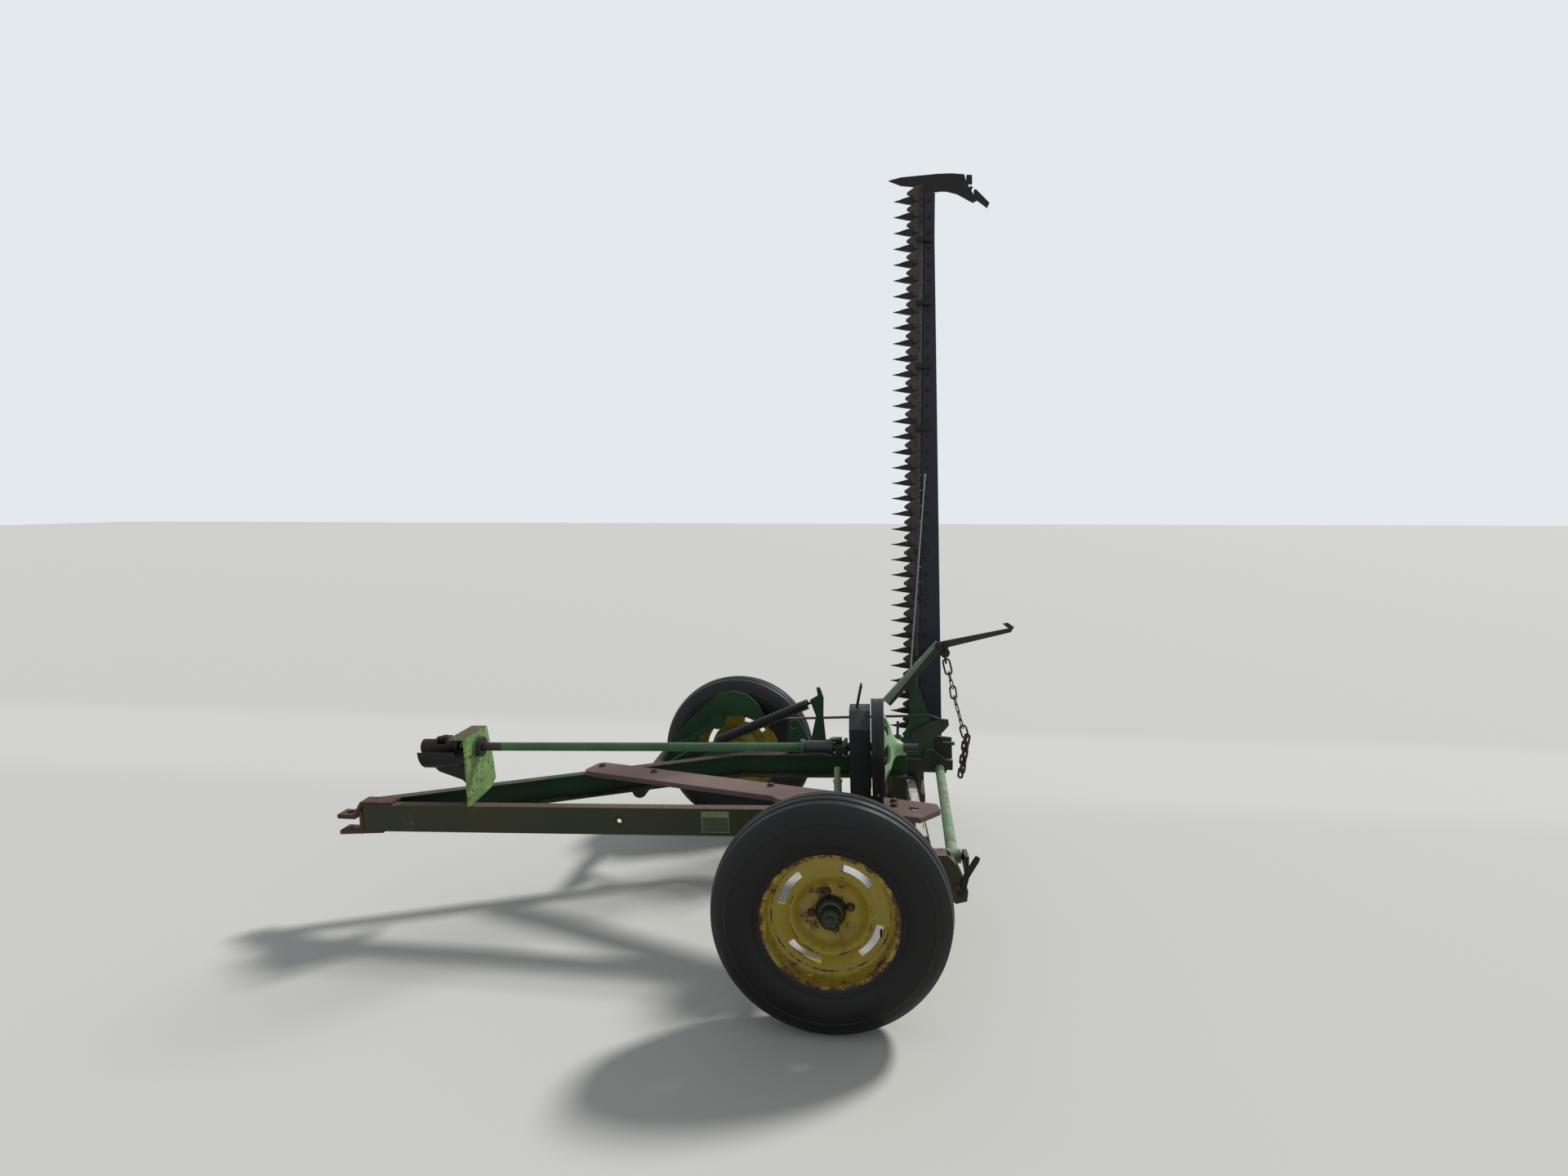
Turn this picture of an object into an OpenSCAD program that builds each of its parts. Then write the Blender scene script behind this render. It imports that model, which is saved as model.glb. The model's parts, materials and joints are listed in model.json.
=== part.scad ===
// Trailed sickle bar mower, cutter bar folded upright for the road.
// +X runs to the rear, +Y to the machine's right, +Z up. The origin is the middle of the drawbar pin.
// Modules work in heights above the ground and stand() brings them down to the pin's height.

/* [Hitch] */
// Height of the middle of the drawbar pin above the ground
hitch_h = 354; // [310:1:400]
// Radius of the drawbar pin's hole
hitch_hole_r = 14; // [10:0.5:16]
// Clear height between the two hitch lips
hitch_gap = 46; // [36:1:60]
// Thickness of the hitch lips
lip_t = 16; // [10:1:20]

/* [Frame] */
// Fall of the tongue towards the hitch, in degrees
slope = 1.8; // [0:0.1:3]
// Height of the frame channels
channel_h = 102; // [80:1:120]
// Width of the channel flanges
channel_w = 41; // [30:1:50]
// Thickness of the channel walls
channel_t = 7; // [5:0.5:10]
// Height of the channels' top above the pin, along the tongue
frame_top = 80; // [60:1:100]
// Outer face of the left channel, left of the pin
rail_y = 35; // [30:1:45]
// Front end of the channels
rail_x0 = 77; // [70:1:120]
// Rear end of the left channel
rail_x1 = 1985; // [1960:1:1990]
// Place where the right channel turns parallel to the left one
bend_x = 1430; // [1350:1:1480]
// Outer face of the right channel behind the bend
bend_y = 640; // [600:1:660]
// Rear end of the right channel
right_x1 = 2150; // [2080:1:2180]
// Width of the diagonal brace
brace_w = 128; // [110:1:140]
// Depth of the diagonal brace
brace_h = 20; // [16:1:22]
// Wall of the diagonal brace
brace_t = 7; // [5:0.5:9]

/* [Wheels] */
// Outer radius of a tyre
tyre_r = 364; // [345:1:375]
// Width of a tyre
tyre_w = 166; // [140:1:180]
// Radius of the rim flange
rim_r = 208; // [200:1:215]
// Width of the rim over its flanges
rim_w = 132; // [120:1:140]
// Distance of the left wheel's middle from the pin, across
left_y = 515; // [480:1:560]
// Distance of the left wheel's axle behind the pin
left_x = 1880; // [1840:1:1900]
// Distance of the right wheel's middle from the pin, across
right_y = 1054; // [1040:1:1080]
// Distance of the right wheel's axle behind the pin
right_x = 1348; // [1320:1:1380]
// Radius of the wheel spindles
spindle_r = 19; // [15:0.5:22]

/* [Drive] */
// Height of the line shaft above the pin
shaft_h = 284; // [280:1:290]
// Line shaft's place across, from the pin
shaft_y = 51; // [45:1:60]
// Radius of the line shaft
shaft_r = 16; // [14:0.5:20]
// Place of the front shaft support
support_x = 500; // [480:1:560]
// Radius of the drive sheave
sheave_r = 176; // [165:1:178]
// Width of the drive sheave over belts and rim
sheave_w = 45; // [44:1:48]
// Width of the belts' part of the sheaves
belt_w = 41; // [38:1:42]
// Front face of the drive sheave
sheave_x = 2007; // [2004:1:2010]
// Depth of the belts below the sheave's rim
belt_h = 11; // [8:0.5:14]
// Radius of the crank pulley
pulley_r = 82; // [70:1:90]
// Height of the crank shaft below the pin
crank_drop = 64; // [55:1:75]
// Throw of the crank
crank_throw = 38.1; // [35:0.1:40]
// Middle of the pitman, behind the pin
pitman_x = 2190; // [2185:1:2195]

/* [Cutter bar] */
// Guard spacing
pitch = 76.2; // [70:0.1:80]
// Number of guards
guard_count = 36; // [30:1:38]
// Lean of the folded bar past upright, in degrees
lean = 3.11; // [0:0.01:6]
// Rake of the folded bar towards the hitch, in degrees
rake = 0.31; // [0:0.01:1]
// Height of the bar's hinge pins above the ground
hinge_h = 109; // [104:1:112]
// Bar's hinge pins, right of the drawbar pin
hinge_y = 1169; // [1160:1:1180]
// Guard tips, ahead of the pitman's middle
tip_ahead = 100; // [90:1:120]
// First guard's distance from the hinge pins
first_guard = 276.5; // [270:0.5:290]
// Knife's depth below the hinge pins
knife_drop = 40; // [36:1:45]
// Guard tip to the bar's back edge at the inner end
bar_back_in = 262; // [250:1:270]
// Guard tip to the bar's back edge at the outer end
bar_back_out = 195; // [190:1:215]
// Thickness of the bar
bar_t = 12; // [8:1:16]
// Knife's rest offset from the guards
knife_offset = 32; // [0:1:76]

/* [Drag bar] */
// Radius of the drag bar tube
drag_r = 21; // [20:0.5:26]
// Drag bar's pivot boss behind the drawbar pin
drag_x = 2288; // [2284:1:2292]
// Height of the drag bar's pivot above the ground
drag_h = 330; // [320:1:340]
// Drag bar's pivot, left of the drawbar pin
drag_y = 4; // [0:1:8]
// Radius of the drag bar's pivot pin
drag_pin_r = 12.5; // [10:0.5:15]

/* [Hidden] */
$fn = 48;
fit = 0.08;
seat = 0.3;
rail_bottom = frame_top - channel_h;
hinge_fold = 90 - lean;
tip_x = pitman_x - tip_ahead;

// Brings a piece from heights above the ground to the pin's height
module stand() translate([0, 0, -hitch_h]) children();
// Turns a piece into the tongue's fall, about the drawbar pin
module fall() rotate([0, -slope, 0]) children();
// Places a piece of the cutter bar, drawn level at the hinge, at its folded place
rake_x = tip_x + 150;
module raked() stand() translate([rake_x, hinge_y, hinge_h]) rotate([0, -rake, 0]) translate([-rake_x, 0, 0])
    children();
module folded() raked() rotate([hinge_fold, 0, 0]) children();
// Extrusions along X of an outline in (y, z) and along Y of an outline in (x, z)
module along_x(x0, x1) translate([x0, 0, 0]) rotate([90, 0, 90]) linear_extrude(x1 - x0) children();
module along_y(y0, y1) translate([0, y1, 0]) rotate([90, 0, 0]) linear_extrude(y1 - y0) children();
// Round bars along X and Y, and between two points
module bar_x(x0, x1, r) translate([x0, 0, 0]) rotate([0, 90, 0]) cylinder(h = x1 - x0, r = r);
module bar_y(y0, y1, r) translate([0, y0, 0]) rotate([-90, 0, 0]) cylinder(h = y1 - y0, r = r);
module rod(p, q, r) {
    d = q - p;
    translate(p) rotate([0, acos(d.z / norm(d)), atan2(d.y, d.x)]) cylinder(h = norm(d), r = r);
}
// Outline of a flat bar between two points
module flat(p, q, w) {
    d = q - p;
    translate(p) rotate(atan2(d.y, d.x)) translate([0, -w / 2]) square([norm(d), w]);
}
// Box whose corners are given
module block(a, b) translate(a) cube(b - a);
// Turned piece along X at a place across and a height, from an outline in (radius, x)
module spun(y, z) translate([0, y, z]) rotate([0, 90, 0]) rotate_extrude() children();
// Coil of round wire along X, its wire of six sides
module coil(length, r, wire, turns) {
    n = round(turns * 10);
    points = [for (i = [0:n]) for (k = [0:5]) let (a = i * 36, b = k * 60, s = r + wire * cos(b))
        [length * i / n + wire * sin(b), s * cos(a), s * sin(a)]];
    sides = [for (i = [0:n - 1]) for (k = [0:5]) let (j = 6 * i, m = (k + 1) % 6) [j + k, j + m, j + 6 + m, j + 6 + k]];
    polyhedron(points, concat([[5, 4, 3, 2, 1, 0]], sides, [[for (k = [0:5]) 6 * n + k]]));
}
// Chain link between two points a pitch apart: a loop of wire of four sides, turned about its length
module link(p, q, w, wire, turn) {
    d = q - p;
    l = norm(d) / 2 + wire + 0.15 - w;
    path = concat([for (a = [0:60:180]) [w * cos(a), l + w * sin(a), cos(a), sin(a)]],
        [for (a = [180:60:360]) [w * cos(a), -l + w * sin(a), cos(a), sin(a)]]);
    points = [for (c = path) for (k = [0:3]) let (b = k * 90)
        [c[0] + wire * cos(b) * c[2], wire * sin(b), c[1] + wire * cos(b) * c[3]]];
    sides = [for (i = [0:7]) for (k = [0:3]) let (j = 4 * i, n = 4 * ((i + 1) % 8), m = (k + 1) % 4)
        [j + k, n + k, n + m, j + m]];
    translate((p + q) / 2) rotate([0, acos(d.z / norm(d)), atan2(d.y, d.x)]) rotate([0, 0, turn])
        polyhedron(points, sides);
}
// A point given in heights above the ground, seen along the fallen tongue
function in_fall(p) = [p.x * cos(slope) + (p.z - hitch_h) * sin(slope), p.y,
    (p.z - hitch_h) * cos(slope) - p.x * sin(slope)];
// And the other way
function out_of_fall(p) = [p.x * cos(slope) - p.z * sin(slope), p.y, p.x * sin(slope) + p.z * cos(slope) + hitch_h];
left_hub = in_fall([left_x, -left_y, tyre_r]);
right_hub = in_fall([right_x, right_y, tyre_r]);
crank_y = shaft_y;
crank_z = -crank_drop;

// Left channel: web outside, flanges towards the middle
module channel_outline(y, side) {
    polygon([[y, rail_bottom], [y + side * channel_w, rail_bottom], [y + side * channel_w, rail_bottom + channel_t],
        [y + side * channel_t, rail_bottom + channel_t], [y + side * channel_t, frame_top - channel_t],
        [y + side * channel_w, frame_top - channel_t], [y + side * channel_w, frame_top], [y, frame_top]]);
}
module tongue_left() {
    color("darkolivegreen") fall() difference() {
        along_x(rail_x0, rail_x1) channel_outline(-rail_y, 1);
        translate([left_hub.x - 800, 0, 30]) bar_y(-rail_y - 1, -rail_y + channel_t + 1, 9);
    }
}

// Right channel: runs out from the hitch, then turns parallel to the left one
right_start = [rail_x0, 52];
right_turn = atan2(bend_y - right_start.y, bend_x - right_start.x);
function strip(d, past) = [right_start + d * [sin(right_turn), -cos(right_turn)]
        - past * [cos(right_turn), sin(right_turn)],
    [bend_x, bend_y] + d * [tan(right_turn / 2), -1], [right_x1 + past, bend_y - d]];
function ribbon(d0, d1, past) = let(p = strip(d0, past), q = strip(d1, past)) [p[0], p[1], p[2], q[2], q[1], q[0]];
module tongue_right() {
    color("darkolivegreen") fall() difference() {
        translate([0, 0, rail_bottom]) linear_extrude(channel_h) polygon(ribbon(0, channel_w, 0));
        translate([0, 0, rail_bottom + channel_t]) linear_extrude(channel_h - 2 * channel_t)
            polygon(ribbon(channel_t, channel_w + 1, 1));
    }
}

// Hitch: a lower flat lip and a cranked upper strap, with the pin hole through both
hitch_w = 60;
module hitch_clevis() {
    up = hitch_gap / 2;
    top = function(x) frame_top / cos(slope) + x * tan(slope) + seat;
    low = function(x) rail_bottom / cos(slope) + x * tan(slope) - seat;
    color("saddlebrown") difference() {
        union() {
            along_y(-hitch_w / 2, hitch_w / 2) polygon([[-34, up + 4], [-28, up], [38, up], [rail_x0 - 9, top(rail_x0 - 9)],
                [190, top(190)], [190, top(190) + 8], [rail_x0 - 16, top(rail_x0 - 16) + 10], [30, up + lip_t],
                [-34, up + lip_t]]);
            along_y(-hitch_w / 2, hitch_w / 2) polygon([[-26, -up - lip_t], [150, low(150) - 8], [150, low(150)],
                [rail_x0 - 4, low(rail_x0 - 4)], [56, -up], [-26, -up]]);
            block([56, -hitch_w / 2, -up - 10], [68, hitch_w / 2, up + 30]);
        }
        translate([0, 0, -100]) cylinder(h = 200, r = hitch_hole_r);
    }
}

// Front shaft support: an upright plate with its top bent forward
support_t = 8;
support_top = shaft_h + 58;
support_y = [-rail_y - 5, shaft_y + 86];
module pto_support() {
    color("yellowgreen") fall() difference() {
        union() {
            along_x(support_x, support_x + support_t) polygon([[support_y[0], frame_top], [-rail_y + channel_w, frame_top],
                [shaft_y + 89, frame_top + 12], [shaft_y + 132, frame_top + 36], [shaft_y + 130, frame_top + 62],
                [shaft_y + 121, shaft_h - 77], [support_y[1], support_top], [support_y[0], support_top]]);
            block([support_x - 54, support_y[0], support_top - support_t], [support_x + support_t, support_y[1], support_top]);
        }
        translate([0, shaft_y, shaft_h]) bar_x(support_x - 1, support_x + support_t + 1, shaft_r + 12);
    }
}
module front_bearing() {
    color("dimgray") fall() translate([0, shaft_y, shaft_h]) difference() {
        union() {
            bar_x(support_x + support_t, support_x + support_t + 24, 38);
            bar_x(support_x - 1, support_x + support_t + 1, shaft_r + 11.5);
            along_x(support_x - 9, support_x) union() {
                circle(r = 40);
                rotate(20) flat([-62, 0], [62, 0], 36);
            }
        }
        bar_x(support_x - 20, support_x + 60, shaft_r + fit);
    }
}
// Half bell under the front yoke
module bell_guard() {
    color("black") fall() translate([0, shaft_y, shaft_h]) {
        difference() {
            bar_x(support_x - 190, support_x - 42, 80);
            bar_x(support_x - 191, support_x - 41, 77);
            block([support_x - 191, -100, 0], [support_x + 1, 100, 100]);
        }
        along_y(-5, 5) polygon([[support_x - seat, -78], [support_x - 172, -78], [support_x - 150, -98],
            [support_x - 60, -130], [support_x - seat, -186]]);
    }
}

// Diagonal brace: an inverted channel laid over the frame from the right channel to the rear
brace_a = [835, 376];
brace_b = [2240, -86];
module brace_outline(t, l) polygon([[t, t - 42], [18 + t, t - brace_w / 2 + 2], [860, t - brace_w / 2 + 2],
    [900, t - brace_w / 2 - 20], [l - 50, t - brace_w / 2 - 18], [l - 4, 15], [l - 28, brace_w / 2 - t],
    [18 + t, brace_w / 2 - t], [t, 45 - t]]);
module diagonal_brace() {
    d = brace_b - brace_a;
    color("rosybrown") fall() difference() {
        translate([brace_a.x, brace_a.y, frame_top]) rotate([0, 0, atan2(d.y, d.x)]) difference() {
            linear_extrude(brace_h) brace_outline(0, norm(d));
            translate([0, 0, -1]) linear_extrude(brace_h - brace_t + 1) brace_outline(brace_t, norm(d) - 2 * brace_t);
            translate([norm(d) - 112, -18, 0]) cube([34, 20, brace_h + 1]);
        }
        block([sheave_x - 6, -200, frame_top - 1], [sheave_x + belt_w + 6, shaft_y - 109, frame_top + brace_h + 1]);
    }
}
// Rear cross beam between the two channels
module rear_beam() {
    color("darkolivegreen") fall() difference() {
        block([rail_x1 - 62, -rail_y + channel_t, rail_bottom + channel_t],
            [rail_x1, bend_y - channel_t, frame_top - channel_t]);
        block([rail_x1 - 55, -rail_y - 1, rail_bottom + 2 * channel_t],
            [rail_x1 + 1, bend_y + 1, frame_top - 2 * channel_t]);
    }
}
// Left axle: a square bar under the channel, turned down to the spindle
module left_axle() {
    top = rail_bottom;
    color("darkolivegreen") fall() {
        block([left_hub.x - 25, -left_y + 130, top - 50], [left_hub.x + 25, 60, top]);
        translate([left_hub.x, 0, left_hub.z]) bar_y(-left_y - 20, -left_y + 132, spindle_r);
    }
}
// Cross tube that carries the right wheel's arm, with the lever of the spring
arm_x = 1005;
arm_z = -40;
arm_y = 945;
spring_y = 616;
spring_eye = [1262, 104];
module arm_tube() {
    inner = right_start.y + (arm_x + 36 - right_start.x) * (bend_y - right_start.y) / (bend_x - right_start.x);
    color("darkolivegreen") fall() {
        translate([arm_x, 0, arm_z]) bar_y(inner, arm_y, 32);
        along_y(spring_y - 6, spring_y + 6) union() {
            polygon([[arm_x - 24, arm_z + 16], [arm_x + 24, arm_z - 16], [spring_eye.x + 14, spring_eye.y - 18],
                [spring_eye.x - 14, spring_eye.y + 18]]);
            translate(spring_eye) circle(r = 23);
        }
    }
}
// Right wheel's arm: a teardrop plate with a spindle, seen over the frame
module right_arm() {
    hub = [right_hub.x, right_hub.z];
    color("darkgreen") fall() {
        difference() {
            along_y(arm_y, arm_y + 12) polygon([[hub.x - 430, hub.y - 58], [hub.x - 321, hub.y + 69],
                [hub.x - 238, hub.y + 160], [hub.x - 144, hub.y + 245], [hub.x - 74, hub.y + 300],
                [hub.x - 7, hub.y + 317], [hub.x + 59, hub.y + 300], [hub.x + 113, hub.y + 255],
                [hub.x + 144, hub.y + 199], [hub.x + 149, hub.y + 176], [hub.x + 149, hub.y + 126],
                [hub.x, hub.y + 60], [hub.x - 199, hub.y + 10], [hub.x - 330, hub.y - 60]]);
            along_y(arm_y - 1, arm_y + 13) translate(hub) circle(r = 195, $fn = 96);
        }
        along_y(arm_y, arm_y + 12) union() {
            flat([arm_x - 10, arm_z], hub, 56);
            translate(hub) circle(r = 44);
        }
        along_y(arm_y - 42, arm_y - 32) flat([hub.x - 258, hub.y + 65], [hub.x - 76, hub.y + 176], 30);
        translate([hub.x - 76, 0, hub.y + 176]) bar_y(arm_y - 46, arm_y + 1, 34);
        translate([hub.x - 258, 0, hub.y + 65]) bar_y(arm_y - 46, arm_y + 1, 18);
        translate([hub.x, 0, hub.y]) bar_y(arm_y, right_y + 20, spindle_r);
    }
}

// Counterbalance spring: a long coil from the arm's lever back to the upright lever on the frame
spring_p = [1319, spring_y + 32, 128];
spring_q = [1728, spring_y + 32, 294];
module counter_spring() {
    d = spring_q - spring_p;
    u = d / norm(d);
    p = spring_p - 62 * u;
    q = spring_q + 22 * u;
    color("dimgray") fall() {
        translate(spring_p) rotate([0, -atan2(d.z, d.x), 0]) coil(norm(d), 18.5, 4.5, 36.8);
        rod(p, spring_p + 10 * u, 5);
        rod(spring_p + 3 * u, spring_p + 15 * u, 13.7);
        rod(spring_q - 10 * u, q, 5);
        rod(spring_q - 15 * u, spring_q - 3 * u, 13.7);
        translate([p.x, 0, p.z]) bar_y(spring_y + 6 + seat, spring_p.y + 6, 8);
        translate([q.x, 0, q.z]) bar_y(spring_y + 8 + seat, spring_q.y + 6, 8);
    }
}
module spring_lever() {
    color("dimgray") fall() {
        along_y(spring_y - 8, spring_y + 8) polygon([[1725, frame_top], [1810, frame_top], [1797, 250], [1800, 330],
            [1785, 375], [1770, 375], [1775, 340], [1740, 320], [1765, 250]]);
        along_y(bend_y - 14, bend_y - 4) difference() {
            polygon([[1633, frame_top], [1641, 222], [1665, 229], [1686, 229], [1733, 135], [1745, frame_top]]);
            translate([1664, 201]) circle(r = 12);
        }
    }
}
// Long thin rod from the right wheel's side to the tilt lever
// Bends of the rod: behind the pin, across, height above the ground
rod_bends = [[1485, 935, 550], [2069, 992, 565], [2181, 1000, 568], [2223, 1003, 571], [2265, 1004, 574],
    [2338, 1005, 548]];
module control_rod() {
    color("dimgray") stand() {
        for (i = [0:len(rod_bends) - 2]) rod(rod_bends[i], rod_bends[i + 1], 6);
        for (i = [1:len(rod_bends) - 1]) translate(rod_bends[i]) sphere(r = 6.4);
        translate([rod_bends[0].x, 0, rod_bends[0].z]) bar_y(arm_y - 16, arm_y - 2, 8);
        translate([2338, 0, 548]) bar_y(1000, yoke_y - 0.6, 6);
    }
}
// Black shield over the belts, with its threaded handle
shield_x = [sheave_x - 77, sheave_x - 4];
module shield_outline(t, drop) polygon([[-60 + t, frame_top + brace_h - drop], [142 - t, frame_top + brace_h - drop],
    [142 - t, shaft_h + 96 - t / 2], [100 - t / 2, shaft_h + 148 - t], [t / 2, shaft_h + 148 - t],
    [-60 + t, shaft_h + 96 - t / 2]]);
module belt_shield() {
    handle = [shield_x[0] + 26, shaft_y, shaft_h + 146];
    tip = handle + [17, 0, 82];
    color("black") fall() {
        difference() {
            along_x(shield_x[0], shield_x[1]) shield_outline(0, 0);
            along_x(shield_x[0] + 3, shield_x[1] + 1) shield_outline(3, 5);
            translate([0, shaft_y, shaft_h]) bar_x(shield_x[0] - 1, shield_x[0] + 4, shaft_r + 6);
        }
        rod(handle, tip, 5);
        translate([tip.x, 0, tip.z]) bar_y(tip.y - 22, tip.y + 22, 5);
    }
}

// Belts: one flat band of belts round both sheaves, with straight strands between them
module belt_run(r1, r2) {
    a = asin((r1 - r2) / (shaft_h - crank_z));
    polygon(concat([for (i = [0:60]) let (b = i * (180 + 2 * a) / 60 - a) [r1 * cos(b), shaft_h + r1 * sin(b)]],
        [for (i = [0:30]) let (b = 180 + a + i * (180 - 2 * a) / 30) [r2 * cos(b), crank_z + r2 * sin(b)]]));
}
module belts() {
    w = (belt_w - 6) / 2;
    color("black") fall() translate([0, shaft_y, 0]) for (x = [sheave_x + 2.5, sheave_x + belt_w - 2.5 - w])
        along_x(x, x + w) difference() {
            belt_run(sheave_r - 1, pulley_r - 1);
            belt_run(sheave_r - belt_h, pulley_r - belt_h);
        }
}
// Bearing of the crank shaft, hung under the brace
module crank_hanger() {
    x = [sheave_x + 59, sheave_x + 117];
    color("dimgray") fall() difference() {
        union() {
            along_x(x[0], x[1]) polygon([[-60, frame_top], [25, frame_top], [crank_y + 40, crank_z], [crank_y - 40, crank_z]]);
            translate([0, crank_y, crank_z]) bar_x(x[0], x[1], 40);
        }
        translate([0, crank_y, crank_z]) bar_x(x[0] - 1, x[1] + 1, 15 + fit);
    }
}
// Box arm behind the left channel, with the lugs and pin on which the drag bar turns
bracket_y = [-131, -72];
module drag_bracket() {
    color("darkolivegreen") {
        fall() along_y(bracket_y[0], bracket_y[1]) polygon([[left_hub.x + 40, -8], [left_hub.x + 40, 62], [rail_x1, 58],
            [drag_x - 84, -39], [drag_x - 30, -40], [drag_x, -72], [drag_x + 24, -128], [drag_x + 38, -165],
            [drag_x + 34, -201], [drag_x - 4, -211], [drag_x - 44, -176], [drag_x - 140, -110], [rail_x1, -14]]);
        fall() block([left_hub.x + 42, bracket_y[1] - 1, -8], [rail_x1, -rail_y - seat, 58]);
        stand() {
            for (x = [drag_x - 48, drag_x + 34]) along_x(x, x + 14) union() {
                polygon([[bracket_y[1] - 12, drag_h - 34], [bracket_y[1] - 12, drag_h + 34], [-drag_y + 6, drag_h + 24],
                    [-drag_y + 6, drag_h - 24]]);
                translate([-drag_y, drag_h]) circle(r = 25);
            }
            translate([0, -drag_y, drag_h]) bar_x(drag_x - 54, drag_x + 54, drag_pin_r);
        }
    }
}
module elbow_post() {
    color("yellowgreen") fall() translate([sheave_x - 123, -12, frame_top + brace_h]) {
        cylinder(h = 84, r = 14);
        translate([0, 0, 78]) cylinder(h = 50, r = 11.5);
        translate([0, 0, 76]) cylinder(h = 8, r = 17);
    }
}

// Turning parts of the drive
module line_shaft() {
    color("yellowgreen") fall() translate([0, shaft_y, shaft_h]) {
        bar_x(support_x - 60, sheave_x - seat, shaft_r);
        bar_x(sheave_x - 257, sheave_x - 151, shaft_r + 8);
        for (x = [sheave_x - 257, sheave_x - 165]) bar_x(x, x + 14, shaft_r + 13);
        bar_x(sheave_x - 151, sheave_x - 139, shaft_r + 18);
        for (z = [-34, 22]) block([sheave_x - 145, -15, z], [sheave_x - 107, 15, z + 12]);
        for (y = [-34, 22]) block([sheave_x - 131, y, -15], [sheave_x - 93, y + 12, 15]);
        translate([sheave_x - 119, 0, 0]) bar_y(-36, 36, 10);
        translate([sheave_x - 119, 0, -36]) cylinder(h = 72, r = 10);
        bar_x(sheave_x - 99, sheave_x - 87, shaft_r + 18);
    }
}
module pto_yoke() {
    color("dimgray") fall() translate([0, shaft_y, shaft_h]) difference() {
        union() {
            bar_x(support_x - 205, support_x - 137, 29);
            bar_x(support_x - 146, support_x - 136, 40);
            for (y = [-40, 28]) block([support_x - 140, y, -17], [support_x - 100, y + 12, 17]);
            translate([support_x - 118, 0, 0]) bar_y(-43, 43, 12);
            translate([support_x - 118, 0, -43]) cylinder(h = 86, r = 12);
            for (z = [-40, 28]) block([support_x - 136, -17, z], [support_x - 96, 17, z + 12]);
            bar_x(support_x - 100, support_x - 90, 40);
            bar_x(support_x - 91, support_x - 60 - seat, 27);
        }
        bar_x(support_x - 206, support_x - 140, 17.5);
    }
}
module drive_sheave() {
    x0 = sheave_x;
    x1 = sheave_x + belt_w;
    x2 = sheave_x + sheave_w;
    groove = sheave_r - belt_h - seat;
    color("yellowgreen") fall() difference() {
        spun(shaft_y, shaft_h) polygon([[0, x0], [groove - 14, x0], [sheave_r, x0], [sheave_r, x0 + 2], [groove, x0 + 2],
            [groove, x1 - 2], [sheave_r, x1 - 2], [sheave_r, x2], [sheave_r - 10, x2], [sheave_r - 14, x2 - 8],
            [128, x2 - 2], [125, x2], [80, x2 + 22], [48, x2 + 31], [34, x2 + 40], [20, x2 + 62], [20, x2 + 66],
            [14, x2 + 70], [14, x2 + 120], [0, x2 + 120]]);
        spun(shaft_y, shaft_h) polygon([[34, x0 - 1], [groove - 14, x0 - 1], [groove - 14, x2 - 14], [126, x2 - 10],
            [78, x2 + 13], [46, x2 + 22], [34, x2 + 22]]);
        translate([0, shaft_y, shaft_h]) for (a = [30:60:330]) rotate([a, 0, 0]) {
            for (y = [-15, 15]) translate([0, y, 102]) bar_x(x1 - 1, x2 + 60, 22);
            block([x1 - 1, -15, 80], [x2 + 60, 15, 124]);
        }
    }
}
module crank_pulley() {
    x0 = sheave_x;
    x1 = sheave_x + belt_w;
    groove = pulley_r - belt_h - seat;
    color("dimgray") fall() spun(crank_y, crank_z) polygon([[0, x0], [pulley_r, x0], [pulley_r, x0 + 2], [groove, x0 + 2],
        [groove, x1 - 2], [pulley_r, x1 - 2], [pulley_r, x1], [30, x1], [30, x1 + 9], [15, x1 + 9], [15, 2130], [0, 2130]]);
}
module crank_wheel() {
    color("dimgray") fall() {
        translate([0, crank_y, crank_z]) along_x(2130, 2158) union() {
            circle(r = 62);
            intersection() {
                circle(r = 92);
                translate([-95, 8]) square([190, 90]);
            }
            translate([0, -crank_throw]) circle(r = 32);
        }
        translate([0, crank_y, crank_z - crank_throw]) bar_x(2157, pitman_x + 18, 12);
        translate([0, crank_y, crank_z - crank_throw]) bar_x(pitman_x - 18, pitman_x + 18, 28);
    }
}
// Pitman: a wooden stick between two steel straps, from the crank pin to the knife's ball
pit_a = out_of_fall([pitman_x, crank_y, crank_z - crank_throw]);
ball_o = 87;
ball_z = 4;
// The ball's place in the raked frame, and the same seen from the ground
ball_raked = [pit_a.x, ball_o * cos(hinge_fold) - ball_z * sin(hinge_fold),
    ball_o * sin(hinge_fold) + ball_z * cos(hinge_fold)];
knife_ball = [rake_x + (ball_raked.x - rake_x) * cos(rake) - ball_raked.z * sin(rake), hinge_y + ball_raked.y,
    hinge_h + (ball_raked.x - rake_x) * sin(rake) + ball_raked.z * cos(rake)];
ball_r = 19;
pit_len = norm([knife_ball.y - pit_a.y, knife_ball.z - pit_a.z]);
pit_turn = atan2(knife_ball.z - pit_a.z, knife_ball.y - pit_a.y);
wood_y0 = 120;
module on_pitman() stand() translate(pit_a) rotate([pit_turn, 0, 0]) children();
module pitman() {
    color("tan") on_pitman() block([-20, wood_y0, -18], [19, pit_len - 75, 18]);
}
module pitman_straps() {
    color("dimgray") on_pitman() {
        block([19.3, -26, -16], [25.3, pit_len + 22, 16]);
        block([-26.3, wood_y0, -16], [-20.3, pit_len + 22, 16]);
    }
}

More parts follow.
